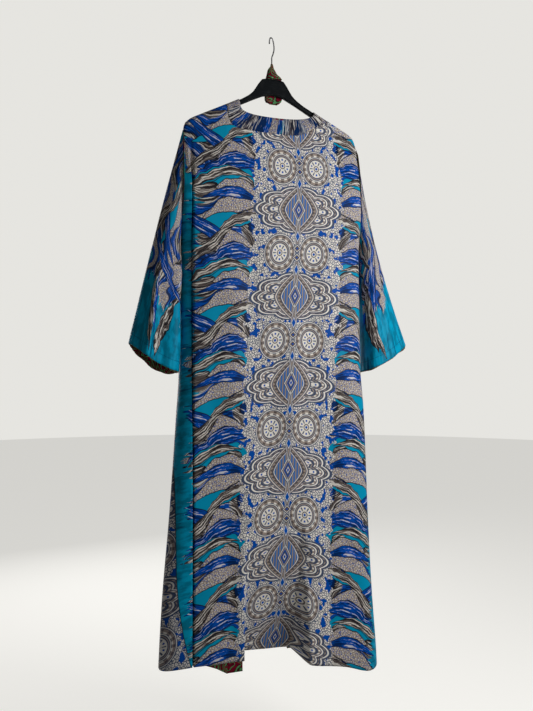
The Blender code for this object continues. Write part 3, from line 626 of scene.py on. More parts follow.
# Strokes: crests and bands, bends by a slow and a fine noise (pitch, size), hairs, and the ragged edge of
# the plain ground
feather = {"crestAt": 0.165, "crestPitch": 0.150, "crestHeight": 0.021, "swell": 0.060, "swellAcross": 62.0,
           "swellWarp": 5.0, "warp": (8.0, 0.34), "fine": (42.0, 0.045), "hairAcross": 17.0,
           "hairAlong": 46.0,
           "pebbled": ((0.150, 0.250), (0.595, 0.740)), "grey": ((0.370, 0.465), (0.830, 0.980)),
           "blue": ((0.255, 0.365), (0.475, 0.580), (0.750, 0.825)),
           "leafShift": (0.030, 0.012), "leafLift": (0.036, 0.009), "ragged": (0.08, 0.09, 0.012),
           "hairPitch": 190.0, "soft": 0.008, "deepTeal": (0, 112, 140), "paleTeal": (0, 170, 208)}

strokes = ((0.00, "teal"), (0.095, "black"), (0.105, "royal"), (0.145, "taupe"), (0.255, "navy"),
           (0.275, "royal"), (0.365, "slate"), (0.385, "brown"), (0.455, "black"), (0.470, "navy"),
           (0.50, "royal"), (0.575, "slate"), (0.59, "taupe"), (0.745, "navy"), (0.765, "royal"),
           (0.825, "slate"), (0.84, "brown"), (0.975, "black"), (0.985, "teal"))

# Long pointed leaves over the bands, in order: kind, place from the axis, height above a pair of rosettes,
# half length, half thickness, slope, bow
leaves = (("pebbled", 0.165, 0.095, 0.072, 0.021, -0.25, 0.016),
          ("bare", 0.190, 0.060, 0.085, 0.019, -0.20, 0.010),
          ("grey", 0.158, 0.048, 0.066, 0.012, -0.55, 0.026),
          ("blue", 0.222, 0.056, 0.072, 0.018, 0.85, -0.006),
          ("blue", 0.256, 0.018, 0.056, 0.012, 0.95, -0.004),
          ("pebbled", 0.172, 0.012, 0.056, 0.022, -0.10, 0.012),
          ("grey", 0.228, 0.006, 0.062, 0.016, -0.75, 0.004),
          ("blue", 0.172, -0.026, 0.082, 0.019, -0.20, 0.026),
          ("bare", 0.212, -0.046, 0.062, 0.014, -0.35, 0.014),
          ("grey", 0.205, -0.062, 0.085, 0.010, -0.30, 0.032),
          ("pebbled", 0.156, -0.068, 0.056, 0.017, 0.10, 0.010),
          ("blue", 0.166, -0.088, 0.070, 0.012, 0.05, 0.018))
sleeveLeaves = {"Left": (("blue", 0.315, 0.085, 0.055, 0.016, 1.30, 0.000),
                         ("grey", 0.440, 0.112, 0.070, 0.012, -0.22, -0.006),
                         ("grey", 0.415, 0.064, 0.090, 0.007, 0.14, 0.000),
                         ("blue", 0.395, 0.074, 0.070, 0.006, 0.12, 0.000)),
                "Right": (("pebbled", 0.290, 0.070, 0.060, 0.030, 0.30, 0.004),
                          ("blue", 0.330, 0.128, 0.085, 0.017, 0.20, 0.006),
                          ("grey", 0.400, 0.148, 0.085, 0.017, -0.10, 0.006),
                          ("grey", 0.455, 0.136, 0.060, 0.008, -0.30, 0.000),
                          ("blue", 0.300, 0.040, 0.050, 0.007, 0.90, 0.000))}


def anyOf(part, spans):
    # 1 inside any of the spans of part
    found = part.within(*spans[0], feather["soft"])
    for span in spans[1:]:
        found = found.most(part.within(*span, feather["soft"]))
    return found


def speckled(tree, colour, u, v, mask):
    # Cream pebbles with dark rims on beige, and small blue flecks
    rim = cells(tree, u * 170.0, v * 240.0, "DISTANCE_TO_EDGE")
    colour = paint(tree, colour, "cream", mask * rim.above(0.20, 0.10) * 0.60)
    colour = paint(tree, colour, "brown", mask * rim.below(0.05, 0.03) * 0.70)
    fleck = cells(tree, u * 150.0 + 3.0, v * 150.0)
    return paint(tree, colour, "royal", mask * fleck.below(0.21, 0.04) * 0.75)


def haired(tree, colour, hair, grey, blue):
    # Dark and cream hairs over the grey strokes and the blue ones
    for dye, mask in (("black", grey * hair.below(0.455, 0.03) * 0.9),
                      ("cream", grey * hair.above(0.565, 0.025) * 0.8),
                      ("navy", blue * hair.below(0.46, 0.03) * 0.95)):
        colour = paint(tree, colour, dye, mask)
    return paint(tree, colour, "cream", blue * hair.above(0.63, 0.02) * 0.75)


def leafColour(tree, under, dye, u, v, across, height, half, thick, slope, bow, grey, blue, pebbled):
    # A leaf is where the distance from a bowed middle line and the square of the place along it add up to
    # under 1.
    along = (u - across) / half
    arch = along * along
    middle = (u - across) * slope + arch.less(1.0) * bow + height
    off = (((v - middle) / printDesign["period"] + 0.5).fraction() - 0.5) * printDesign["period"]
    reach = off.size() / thick + arch
    inside = reach.below(0.97, 0.05)
    colour = paint(tree, under, "black", reach.below(1.10, 0.04))
    colour = paint(tree, colour, dye, inside)
    colour = speckled(tree, colour, u, v, inside * pebbled)
    hair = grain(tree, u * 20.0, off * 260.0 + height * 90.0, 3.0, 0.62)
    return haired(tree, colour, hair, inside * grey, inside * blue)


leafGroup = Group("leaf", ("under", "dye"),
                  ("u", "v", "across", "height", "half", "thick", "slope", "bow", "grey", "blue", "pebbled"),
                  leafColour)
leafDyes = {"grey": "brown", "blue": "royal", "pebbled": "taupe", "bare": "teal"}


def leafed(tree, colour, u, v, rows):
    for kind, across, height, half, thick, slope, bow in rows:
        colour = leafGroup.into(tree, under=colour, dye=leafDyes[kind], u=u, v=v, across=across,
                                height=height, half=half, thick=thick, slope=slope, bow=bow,
                                grey=float(kind == "grey"), blue=float(kind == "blue"),
                                pebbled=float(kind == "pebbled"))
    return colour


def feathers(tree, side, v, plainFrom):
    # Long arched strokes: the height less a wave over the distance from the axis, bent by noise, gives
    # the place within a repeat, which picks the dye. A second wave makes each band swell and taper along
    # its length. Hairs are noise drawn out along the strokes. Pointed leaves lie over the bands, and past
    # plainFrom is plain ground.
    turn = v / printDesign["period"]
    warp = looped(tree, side, turn, feather["warp"][0])
    shift = looped(tree, side, turn, feather["warp"][0], 2.0, 5.0)
    fine = looped(tree, side, turn, feather["fine"][0], 3.0)
    arch = ((side - feather["crestAt"]) * (2 * math.pi / feather["crestPitch"]) + math.pi / 2).sine()
    phase = turn - arch * (feather["crestHeight"] / printDesign["period"])
    phase = phase + warp * feather["warp"][1] + fine * feather["fine"][1]
    swell = (phase * (4 * math.pi) + side * feather["swellAcross"] + warp * feather["swellWarp"]).sine()
    part = (phase + swell * feather["swell"]).fraction()
    hair = grain(tree, side * feather["hairAcross"] + warp * 2.0, phase * feather["hairAlong"], 3.0, 0.62)
    colour = speckled(tree, ramp(part, strokes), side, v, anyOf(part, feather["pebbled"]))
    colour = haired(tree, colour, hair, anyOf(part, feather["grey"]), anyOf(part, feather["blue"]))
    bentU = side + (warp - 0.5) * feather["leafShift"][0] + (fine - 0.5) * feather["leafShift"][1]
    bentV = v + (shift - 0.5) * feather["leafLift"][0] + (fine - 0.5) * feather["leafLift"][1]
    colour = leafed(tree, colour, bentU, bentV, leaves)
    hairs = looped(tree, side * 0.06, turn, feather["hairPitch"], 2.0, 9.0)
    slow, quick, even = feather["ragged"]
    ragged = plainFrom + (warp - 0.5) * slow + (hairs - 0.5) * quick + (part * (4 * math.pi)).sine() * even
    streak = grain(tree, side * 9.0, v * 120.0, 2.0).above(0.70, 0.02) * 0.55
    mottled = grain(tree, side * 24.0, v * 60.0, 4.0, 0.6)
    bare = paint(tree, "teal", feather["deepTeal"], mottled.below(0.47, 0.08) * 0.7)
    bare = paint(tree, bare, feather["paleTeal"], mottled.above(0.56, 0.06) * 0.6)
    bare = paint(tree, bare, "navy", streak)
    return paint(tree, colour, bare, side.above(ragged, 0.002))


def ringed(tree, under, reach, stops, soft=0.012):
    # Concentric bands of colour where reach is under 1
    return paint(tree, under, ramp(reach, stops), reach.below(1.0, soft))


# The column: half sizes across and along, counts of lobes round each form, and the bands of colour from
# its middle
column = {"edge": 0.098, "pebbles": 150.0,
          "shield": (0.116, 0.058), "lobes": 4.5, "lobeDepth": 0.12, "fingers": 9.0, "beads": 34.0,
          "shieldBands": ((0.00, "taupe"), (0.50, "brown"), (0.53, "cream"), (0.57, "slate"),
                          (0.62, "taupe"), (0.66, "slate"), (0.70, "taupe"), (0.755, "slate"),
                          (0.775, "cream"), (0.81, "slate"), (0.84, "taupe"), (0.87, "slate"),
                          (0.90, "cream"), (0.94, "slate")),
          "lens": (0.054, 0.063), "teeth": 0.0086, "toothDepth": 0.14, "bars": 860.0,
          "lensBands": ((0.00, "slate"), (0.62, "cream"), (0.655, "slate"), (0.70, "taupe"), (0.84, "slate"),
                        (0.88, "cream"), (0.915, "taupe"), (0.955, "slate")),
          "lozenge": (0.0185, 0.035),
          "lozengeBands": ((0.00, "royal"), (0.16, "cream"), (0.24, "slate"), (0.42, "royal"),
                           (0.56, "taupe"), (0.70, "slate"), (0.80, "cream"), (0.90, "slate")),
          "rose": (0.0405, 0.0465), "roseAt": 0.0445, "petals": 3.0, "spots": 13.0,
          "roseBands": ((0.00, "royal"), (0.07, "cream"), (0.12, "brown"), (0.17, "cream"), (0.47, "slate"),
                        (0.52, "taupe"), (0.575, "slate"), (0.62, "cream"), (0.66, "slate"), (0.70, "taupe"),
                        (0.88, "slate"), (0.915, "cream"), (0.955, "slate"))}

# Chain down the axis: half width, place above or below a pair of rosettes, half height, bands. A slim
# bar, a long bead, and a knot between the two rosettes
chain = ((0.0090, 0.040, 0.052, ((0.00, "taupe"), (0.60, "slate"), (0.76, "cream"), (0.88, "slate"))),
         (0.0075, 0.040, 0.0160, ((0.00, "royal"), (0.55, "sky"), (0.70, "cream"), (0.86, "slate"))),
         (0.0125, 0.011, 0.0115, ((0.00, "royal"), (0.25, "brown"), (0.62, "cream"), (0.78, "slate"))))


def medallions(tree, under, side, v):
    # One mirrored column: a shield with rounded lobes and a pair of rosettes take turns, joined down the
    # axis by a chain of lozenges, on a pebbled ground. Each outline is a level of a stretched distance
    # with lobes added.
    turn = v / printDesign["period"]
    # Heights above the nearest pair of rosettes and above the nearest shield
    near = ((turn + 0.5).fraction() - 0.5) * printDesign["period"]
    apart = (turn.fraction() - 0.5) * printDesign["period"]
    ragged = grain(tree, side * 50.0, v * 50.0, 2.0)
    inside = side.below(ragged * 0.034 + (near * 190.0).sine() * 0.004 + column["edge"], 0.001)
    pebbleU, pebbleV = side * column["pebbles"], v * column["pebbles"]
    ground = ramp(cells(tree, pebbleU, pebbleV, "DISTANCE_TO_EDGE"), ((0.0, "slate"), (0.11, "cream")))
    ground = paint(tree, ground, "navy", cells(tree, pebbleU, pebbleV).below(0.15, 0.04) * 0.8)
    ground = paint(tree, ground, "royal", grain(tree, side * 70.0 + 7.0, v * 60.0, 1.0).above(0.60, 0.012))
    colour = paint(tree, under, ground, inside)

    # Shield: lobed bands outside, fingers of cream within
    wide, high = side / column["shield"][0], apart / column["shield"][1]
    angle = high.node("ARCTAN2", wide)
    lobes = (angle * column["lobes"] + math.pi / 2).sine().size()
    shield = hypotenuse(wide, high) + lobes.less(1.0) * column["lobeDepth"]
    finger = (angle * column["fingers"] + math.pi / 2).sine()
    beads = (angle * column["beads"]).sine()
    colour = ringed(tree, colour, shield, column["shieldBands"])
    for dye, mask in (("slate", shield.within(0.40, 0.66, 0.01) * finger.above(0.05, 0.06)),
                      ("cream", shield.within(0.42, 0.635, 0.01) * finger.above(0.35, 0.06)),
                      ("royal", shield.within(0.55, 0.585, 0.01) * finger.above(0.80, 0.05)),
                      ("cream", shield.within(0.705, 0.75, 0.006) * beads.above(0.2, 0.2)),
                      ("brown", shield.within(0.845, 0.87, 0.004) * beads.above(0.0, 0.2))):
        colour = paint(tree, colour, dye, mask)

    # Its pointed lens with a toothed band and upright bars, and the lozenge in the middle
    tall = (apart / column["lens"][1]).size()
    lens = side / column["lens"][0] + tall * tall.node("SQRT")
    tooth = (lens - apart.size().wave(column["teeth"]) * column["toothDepth"]).below(0.70, 0.01)
    bars = (side * column["bars"]).sine()
    colour = ringed(tree, colour, lens, column["lensBands"])
    for dye, mask in (("brown", lens.within(0.70, 0.84, 0.004) * tooth),
                      ("sky", lens.below(0.61, 0.01) * bars.above(0.25, 0.2)),
                      ("taupe", lens.below(0.61, 0.01) * bars.below(-0.35, 0.2))):
        colour = paint(tree, colour, dye, mask)
    lozenge = side / column["lozenge"][0] + apart.size() / column["lozenge"][1]
    colour = ringed(tree, colour, lozenge, column["lozengeBands"])

    # Pair of rosettes
    offSide = side - column["roseAt"]
    rose = hypotenuse(offSide / column["rose"][0], near / column["rose"][1])
    roseAngle = near.node("ARCTAN2", offSide)
    petals, spots = (roseAngle * column["petals"]).sine().size(), (roseAngle * column["spots"]).sine()
    colour = ringed(tree, colour, rose, column["roseBands"])
    for dye, mask in (("slate", rose.within(0.22, 0.42, 0.01) * petals.below(0.28, 0.05)),
                      ("royal", rose.within(0.28, 0.38, 0.01) * petals.above(0.93, 0.03)),
                      ("cream", rose.within(0.68, 0.76, 0.008) * spots.above(0.1, 0.2)),
                      ("brown", rose.within(0.77, 0.87, 0.008) * spots.below(-0.3, 0.2))):
        colour = paint(tree, colour, dye, mask)
    for half, at, reach, bands in chain:
        colour = ringed(tree, colour, side / half + (near.size() - at).size() / reach, bands, 0.03)
    return colour


def relieved(tree, height, strength):
    # The shader's normal from a height in metres
    bump = tree.nodes.new("ShaderNodeBump")
    bump.inputs["Strength"].default_value = strength
    bump.inputs["Distance"].default_value = 1.0
    tree.links.new(height.socket, bump.inputs["Height"])
    tree.links.new(bump.outputs["Normal"], tree.nodes["Principled BSDF"].inputs["Normal"])


silk = {"gloss": 0.06, "rough": 0.34, "roughSpread": 0.16, "crumpleAcross": 22.0, "crumpleAlong": 11.0,
        "crumpled": 0.0016, "sleeveCrumpled": 0.0028, "twill": 5200.0, "twillDepth": 0.00005, "relief": 0.55}


def finishCloth(tree, colour, u, v, rough=silk["rough"], crumpled=silk["crumpled"]):
    # Silk: a low gloss, a fine twill and shallow crumples under the print
    shader = tree.nodes["Principled BSDF"]
    tree.links.new(colour, shader.inputs["Base Color"])
    shader.inputs["Specular IOR Level"].default_value = silk["gloss"]
    crumple = grain(tree, u * silk["crumpleAcross"], v * silk["crumpleAlong"], 3.0, 0.55)
    twill = ((u + v) * silk["twill"]).sine() * 0.5 + 0.5
    tree.links.new((crumple * silk["roughSpread"] + rough).socket, shader.inputs["Roughness"])
    relieved(tree, crumple * crumpled + twill * silk["twillDepth"], silk["relief"])


stitch = {"pitch": 0.0038, "dash": (0.12, 0.72), "half": 0.0007, "soft": 0.0003, "depth": 0.8}


def stitched(tree, colour, start):
    # A row of stitches at one distance from the finished edge, on the map of edge places
    along, inward = uvNumbers(tree, "edge")
    dash = (along / stitch["pitch"]).fraction().within(*stitch["dash"], 0.06)
    row = (inward - start).size().below(stitch["half"], stitch["soft"])
    return paint(tree, colour, "navy", row * dash * stitch["depth"])


def objectNumbers(tree):
    coordinates = tree.nodes.new("ShaderNodeTexCoord")
    parts = tree.nodes.new("ShaderNodeSeparateXYZ")
    tree.links.new(coordinates.outputs["Object"], parts.inputs[0])
    return [Number(tree, output) for output in parts.outputs]


# Low on the left the front's cloth comes round on to the back, past a line that bows inwards: its place
# across and height, how far it bows over what length, the sum of the place across and the distance from
# the front's axis, the strength of the painted shade over the wrapped cloth, and the half width, softness
# and strength of the painted shadow line along its edge
wrapAround = {"across": 0.245, "height": -1.25, "bow": 0.0235, "length": 0.20, "sum": 0.327,
              "shadow": 0.30, "line": 0.0010, "soft": 0.0005, "shadowLineDepth": 0.8}


strokeGroup = Group("strokes", (), ("side", "v", "plainFrom"), feathers)
columnGroup = Group("column", ("under",), ("side", "v"), medallions)


def printedSilk(name, plainFrom, plainSlope=0.0, figured=True, hem=0.018, wrapped=False, over=()):
    # The strokes, then a sleeve's own leaves or the body's column, then the stitches of the hem
    made = newMaterial(name, (0.02, 0.16, 0.30), 0.4)
    tree = made.node_tree
    u, v = uvNumbers(tree, "cloth")
    side = u.size()
    if wrapped:
        x, _, z = objectNumbers(tree)
        sunk = (z.less(wrapAround["height"]) / wrapAround["length"]).most(0.0)
        past = x - (sunk * sunk * -wrapAround["bow"] + wrapAround["across"])
        side = side + (x.less(wrapAround["sum"]) - side) * past.above(0.0, 0.0001)
    rise = (v + printDesign["wideningFrom"]).most(0.0) * (printDesign["widening"] if figured else 0.0)
    colour = strokeGroup.into(tree, side=side, v=v, plainFrom=v * plainSlope + rise + plainFrom)
    if over:
        ripple = grain(tree, side * 30.0, v * 60.0, 2.0) - 0.5
        colour = leafed(tree, colour, side, v + ripple * printDesign["leafRipple"], over)
    if figured:
        colour = columnGroup.into(tree, under=colour, side=side, v=v)
    if wrapped:
        # Painted shade: navy over the wrapped cloth, then a black line along its edge as a painted shadow
        line = past.above(0.0, wrapAround["soft"]) * wrapAround["shadow"]
        colour = paint(tree, colour, "navy", line)
        line = past.size().below(wrapAround["line"], wrapAround["soft"]) * wrapAround["shadowLineDepth"]
        colour = paint(tree, colour, "black", line)
    colour = stitched(tree, colour, hem)
    finishCloth(tree, colour, u, v, crumpled=silk["crumpled" if figured else "sleeveCrumpled"])
    return made


bandPrint = {"repeat": 0.262, "slant": 0.30, "warp": 0.034,
             "strokes": ((0.00, "taupe"), (0.060, "slate"), (0.095, "brown"), (0.165, "royal"),
                         (0.215, "navy"), (0.255, "brown"), (0.33, "navy"), (0.42, "royal"),
                         (0.48, "taupe"), (0.555, "royal"), (0.590, "teal"), (0.62, "slate"),
                         (0.66, "brown"), (0.72, "navy"), (0.765, "slate"), (0.82, "taupe"),
                         (0.89, "navy"), (0.94, "brown")),
             "pale": ((-0.10, 0.055), (0.485, 0.55), (0.805, 0.895)),
             "blue": ((0.165, 0.255), (0.33, 0.48), (0.555, 0.59), (0.72, 0.765), (0.90, 0.93)),
             "peepTo": 0.0042, "peepRed": (0.130, 0.158), "peepGreen": (0.142, 0.147)}


def bandSilkFinish():
    # The band's cloth is cut across the strokes, so they stand across it: the dye goes by the place along
    # the band.
    made = newMaterial("bandSilk", (0.05, 0.09, 0.20), 0.4)
    tree = made.node_tree
    u, v = uvNumbers(tree, "cloth")
    warp = grain(tree, u * 16.0, v * 26.0, 2.0)
    slanted = u + v * bandPrint["slant"] + (warp - 0.5) * bandPrint["warp"]
    part = (slanted / bandPrint["repeat"]).fraction()
    hair = grain(tree, u * 300.0 + v * 70.0, v * 26.0, 2.0, 0.6)
    colour = ramp(part, bandPrint["strokes"])
    pale = anyOf(part, bandPrint["pale"])
    colour = speckled(tree, colour, u, v, pale)
    blue = anyOf(part, bandPrint["blue"])
    colour = haired(tree, colour, hair, (pale + blue).less(1.0).most(0.0), blue * 0.7)
    colour = paint(tree, colour, "navy", warp.above(0.42, 0.2) * 0.35)
    # Bits of lining at the neckline's upper edge
    peep = grain(tree, u * 260.0, v * 40.0, 1.0).above(0.43, 0.1) * v.below(bandPrint["peepTo"], 0.0004)
    colour = paint(tree, colour, "crimson", peep * u.within(*bandPrint["peepRed"], 0.002))
    colour = paint(tree, colour, "green", peep * u.within(*bandPrint["peepGreen"], 0.001))
    finishCloth(tree, colour, u, v)
    return made


liningPrint = {"bend": 22.0, "bendSize": 3.4, "pitch": 35.0, "bands": 5.0, "rough": 0.40,
               "stops": ((0.0, "crimson"), (0.42, "wine"), (0.50, "green"), (0.66, (126, 176, 120)),
                         (0.71, "green"), (0.81, "wine"), (0.90, "crimson"))}


def liningSilkFinish():
    # Crimson with curving leaves: bands of a twice-bent noise in green, each with a dark outline.
    made = newMaterial("liningSilk", (0.19, 0.01, 0.03), 0.45)
    tree = made.node_tree
    u, v = uvNumbers(tree, "cloth")
    slow, pitch, size = liningPrint["bend"], liningPrint["pitch"], liningPrint["bendSize"]
    bendX = grain(tree, u * slow, v * slow, 1.0)
    bendY = grain(tree, u * slow + 5.0, v * slow + 9.0, 1.0)
    swirl = grain(tree, u * pitch + bendX * size, v * pitch + bendY * size, 0.0)
    colour = ramp((swirl * liningPrint["bands"]).fraction(), liningPrint["stops"])
    vein = grain(tree, u * 160.0, v * 60.0, 1.0).above(0.62, 0.03) * 0.4
    colour = paint(tree, colour, "wine", vein)
    finishCloth(tree, colour, u, v, rough=liningPrint["rough"])
    return made


backSilk = printedSilk("backSilk", printDesign["backPlainFrom"], printDesign["backPlainSlope"], wrapped=True)
frontSilk = printedSilk("frontSilk", printDesign["backPlainFrom"])
sleeveSilk = {word: printedSilk("sleeveSilk" + word, printDesign["sleevePlainFrom"],
                                printDesign["sleevePlainSlope"], figured=False, hem=0.022,
                                over=sleeveLeaves[word])
              for word in ("Left", "Right")}
bandSilk = bandSilkFinish()
liningSilk = liningSilkFinish()
print("finishes done")


# The robe

# Creases: panel, from x, from z, to x, to z, half width, depth inwards (less than 0 is a ridge)
creases = (("back", 0.060, -1.180, -0.012, -1.172, 0.006, 0.0056),
           ("back", -0.010, -1.172, -0.058, -1.198, 0.007, 0.0062),
           ("back", -0.052, -1.215, -0.080, -1.330, 0.015, 0.0085),
           ("back", -0.165, -1.225, -0.232, -1.280, 0.006, 0.0046),
           ("back", 0.2525, -1.340, 0.2210, -1.480, 0.004, 0.0040),
           ("back", -0.175, -1.015, -0.185, -1.062, 0.004, 0.0024),
           ("back", -0.160, -1.135, -0.157, -1.165, 0.004, 0.0020),
           ("back", -0.197, -1.375, -0.199, -1.430, 0.005, 0.0028),
           ("back", 0.200, -0.862, -0.230, -0.866, 0.005, -0.0007),
           ("back", 0.200, -1.313, -0.240, -1.322, 0.005, -0.0007),
           ("back", 0.150, -0.260, 0.196, -0.420, 0.012, 0.0016),
           ("back", -0.150, -0.250, -0.215, -0.400, 0.014, 0.0018),
           ("back", 0.120, -1.250, 0.112, -1.470, 0.014, 0.0018),
           ("back", -0.120, -1.300, -0.135, -1.500, 0.018, 0.0022),
           ("back", 0.020, -0.600, 0.010, -1.000, 0.030, 0.0012),
           ("front", 0.130, -0.420, 0.190, -0.640, 0.012, 0.0018),
           ("front", 0.140, -0.864, 0.215, -0.860, 0.005, -0.0007),
           ("front", 0.110, -1.316, 0.250, -1.310, 0.005, -0.0007),
           ("front", -0.130, -0.400, -0.195, -0.600, 0.013, 0.0018),
           ("front", -0.140, -0.862, -0.215, -0.866, 0.005, -0.0007),
           ("front", -0.120, -1.100, -0.140, -1.450, 0.020, 0.0022),
           ("front", 0.150, -1.050, 0.175, -1.400, 0.020, 0.0020))

innerWall = {"wall": 0.0005, "inset": 0.0010}  # a lining's thickness, and how far inside the cloth it starts
drape = {"size": 0.0016, "from": -0.30, "over": 0.35, "slow": 47.0, "quick": 83.0, "quickShare": 0.6,
         "belowEdge": 0.10, "belowShoulder": 0.08,
         "wobble": 0.25, "wobbles": 90.0}
pinch = {"draw": 0.0050, "reach": 0.030, "top": -0.30, "fade": 0.08}


def creaseDepth(panel, x, z):
    # Each crease is a bell across a line, faded at the line's ends; a slow ripple across the cloth is added.
    total = np.zeros(x.shape)
    for which, x0, z0, x1, z1, half, depth in creases:
        if which == panel:
            runX, runZ = x1 - x0, z1 - z0
            length = math.hypot(runX, runZ)
            along = ((x - x0) * runX + (z - z0) * runZ) / length
            off = ((x - x0) * runZ - (z - z0) * runX) / length
            off = off + drape["wobble"] * half * np.sin(along * drape["wobbles"])
            fade = ease((along + half) / (3 * half)) * ease((length + half - along) / (3 * half))
            total = total + depth * np.exp(-((off / half) ** 2)) * fade
    grown = ease((drape["from"] - z) / drape["over"])
    slow = np.sin(x * drape["slow"] + 1.9 * np.sin(z * 3.1) + 0.6)
    ripple = slow + drape["quickShare"] * np.sin(x * drape["quick"] - 2.3 * np.sin(z * 4.3 + 1.0))
    return total + drape["size"] * grown * ripple


def shaped(fine, panel, columnsPer, sides, signY, curl=0.0):
    # Away from the side edges the depth is worked out again point by point, with the creases added.
    count = (fine.shape[1] - 1) / columnsPer
    spot = np.arange(fine.shape[1]) / columnsPer
    inner = np.ones(fine.shape[1])
    if sides[0]:
        inner = inner * ease(spot - 1.0)
    if sides[1]:
        inner = inner * ease(count - 1.0 - spot)
    x, z = fine[:, :, 0], fine[:, :, 2]
    depth = bodyDepth(panel, x, z)
    below = ease((fine[:1, :, 2] - z) / drape["belowEdge"])
    below = below * ease((shoulderHeight(x) - z) / drape["belowShoulder"])
    depth = depth - creaseDepth(panel, x, z) * below
    out = fine.copy()
    out[:, :, 1] = fine[:, :, 1] * (1 - inner) + (signY * depth + curl) * inner
    return out


def pinched(grid):
    # The crease beside the left armhole: its lips are drawn together over a foot that stays where it is.
    x, z = grid[:, :, 0], grid[:, :, 2]
    off = x - cloth["creaseX"]
    toSide = np.minimum(pinch["reach"], section("left", z) - cloth["creaseX"])
    room = np.where(off > 0, toSide, pinch["reach"])
    far = np.abs(off)
    lip = cloth["creaseHalf"]
    draw = pinch["draw"] * ease(far / lip) * ease((room - far) / np.maximum(room - lip, 0.001))
    draw = draw * ease((pinch["top"] - z) / pinch["fade"])
    out = grid.copy()
    out[:, :, 0] = x - np.sign(off) * draw
    return out


def printPlaces(grid, outward, heights, axisX):
    # U is the level length along the row from the print's axis, the large folds left out. V is the height
    # from the first pair of rosettes, and the rows of the print droop towards the sides, more so lower
    # down.
    level = grid * np.array([1.0, 1.0, 0.0])
    level[:, :, 1] += outward * foldDepth("back" if outward > 0 else "front", grid[:, :, 0], grid[:, :, 2])
    across = arcAcross(level)
    axis = bend(heights, axisX, grid[:, :, 2])
    side = np.abs(grid[:, :, 0] - axis)
    middle = np.argmin(side, axis=1)
    rows = np.arange(len(grid))
    offset = grid[rows, middle, 0] - axis[rows, middle]
    u = across - across[rows, middle][:, None] - offset[:, None]
    rise = grid[:, :, 2] - printDesign["firstPair"]
    droop = printDesign["droop"] * (np.abs(u) / printDesign["droopAt"]) ** printDesign["droopPower"]
    droop = droop * np.clip(-rise / printDesign["droopOver"], 0.0, printDesign["droopMost"])
    return np.stack([u, rise + droop], axis=2)


def hemPlaces(grid, ring=False):
    # Length along the hem, and distance up from it
    down = arcDown(grid)
    across = np.broadcast_to(arcAcross(grid, ring)[-1:], (len(grid), grid.shape[1] + (1 if ring else 0)))
    rise = down[-1:] - down
    return np.stack([across, closed(rise) if ring else rise], axis=2)


def dress(piece, node):
    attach(piece, "root")
    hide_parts(node)


printAxis = {"height": (-0.20, -0.32, -0.944, -1.355, -1.56),
             "back": (-0.060, -0.057, -0.025, -0.012, -0.006),
             "frontLeft": (0.080, 0.085, 0.150, 0.215, 0.235),
             "frontRight": (-0.100, -0.105, -0.150, -0.170, -0.175)}

backFine = finer(backGrid(), backPanel["rowsPer"], backPanel["columnsPer"])
backPrint = shaped(backFine, "back", backPanel["columnsPer"], (True, True), 1.0)
backFine = pinched(backPrint)
backPiece = gridMesh("robeBack", backFine, [backSilk, liningSilk],
                     printPlaces(backPrint, 1.0, printAxis["height"], printAxis["back"]), hemPlaces(backFine))
dress(backPiece, "back_panel")

for side, word in ((1, "Left"), (-1, "Right")):
    fine = finer(frontGrid(side), frontPanel["rowsPer"], frontPanel["columnsPer"])
    fine = shaped(fine, "front", frontPanel["columnsPer"], (side < 0, side > 0), -1.0,
                  frontCurl(side, fine[:, :, 0], fine[:, :, 2]))
    front = gridMesh("robeFront" + word, fine, [frontSilk, liningSilk],
                     printPlaces(fine, -1.0, printAxis["height"], printAxis["front" + word]), hemPlaces(fine))
    dress(front, "front_panel_" + word.lower())
    if side > 0:
        hemRows = fine[-frontPanel["liningSteps"] * frontPanel["rowsPer"] - 1 :]
        hemPiece = gridMesh("hemLiningLeft", hemRows, [liningSilk],
                            np.stack([arcAcross(hemRows), hemRows[:, :, 2]], axis=2), hemPlaces(hemRows),
                            **innerWall)
        dress(hemPiece, "lining_front_left")
print("body done")

# Pleats of a sleeve: place round it, width, depth, start along it
sleeveLook = {"length": 0.52, "round": 0.36, "pucker": 0.0006, "puckers": 240.0, "puckerFrom": 0.86,
              "peep": 0.0024, "peepWaves": (0.31, 0.173),
              "Left": ((0.33, 0.030, 0.0040, 0.35), (0.43, 0.065, -0.0140, 0.10), (0.62, 0.045, 0.0040, 0.2),
                       (0.80, 0.050, 0.0035, 0.1), (0.92, 0.035, 0.0025, 0.3)),
              "Right": ((0.17, 0.050, 0.0030, 0.0), (0.33, 0.035, 0.0040, 0.35), (0.42, 0.030, -0.0030, 0.5),
                        (0.62, 0.045, 0.0040, 0.2), (0.80, 0.050, 0.0035, 0.1), (0.92, 0.035, 0.0025, 0.3)),
              "cornerAlong": (0.0, 0.45, 0.60, 0.80, 0.97, 1.0),
              "cornerPlace": (0.05, 0.10, 0.16, 0.20, 0.215, 0.22), "cornerStart": 0.4,
              "corner": ((0.0, 0.024, -0.0065), (-0.085, 0.050, 0.0060), (0.075, 0.040, 0.0045)),
              "wander": 0.02, "growth": 0.4, "swing": 0.2, "swings": 9.0}


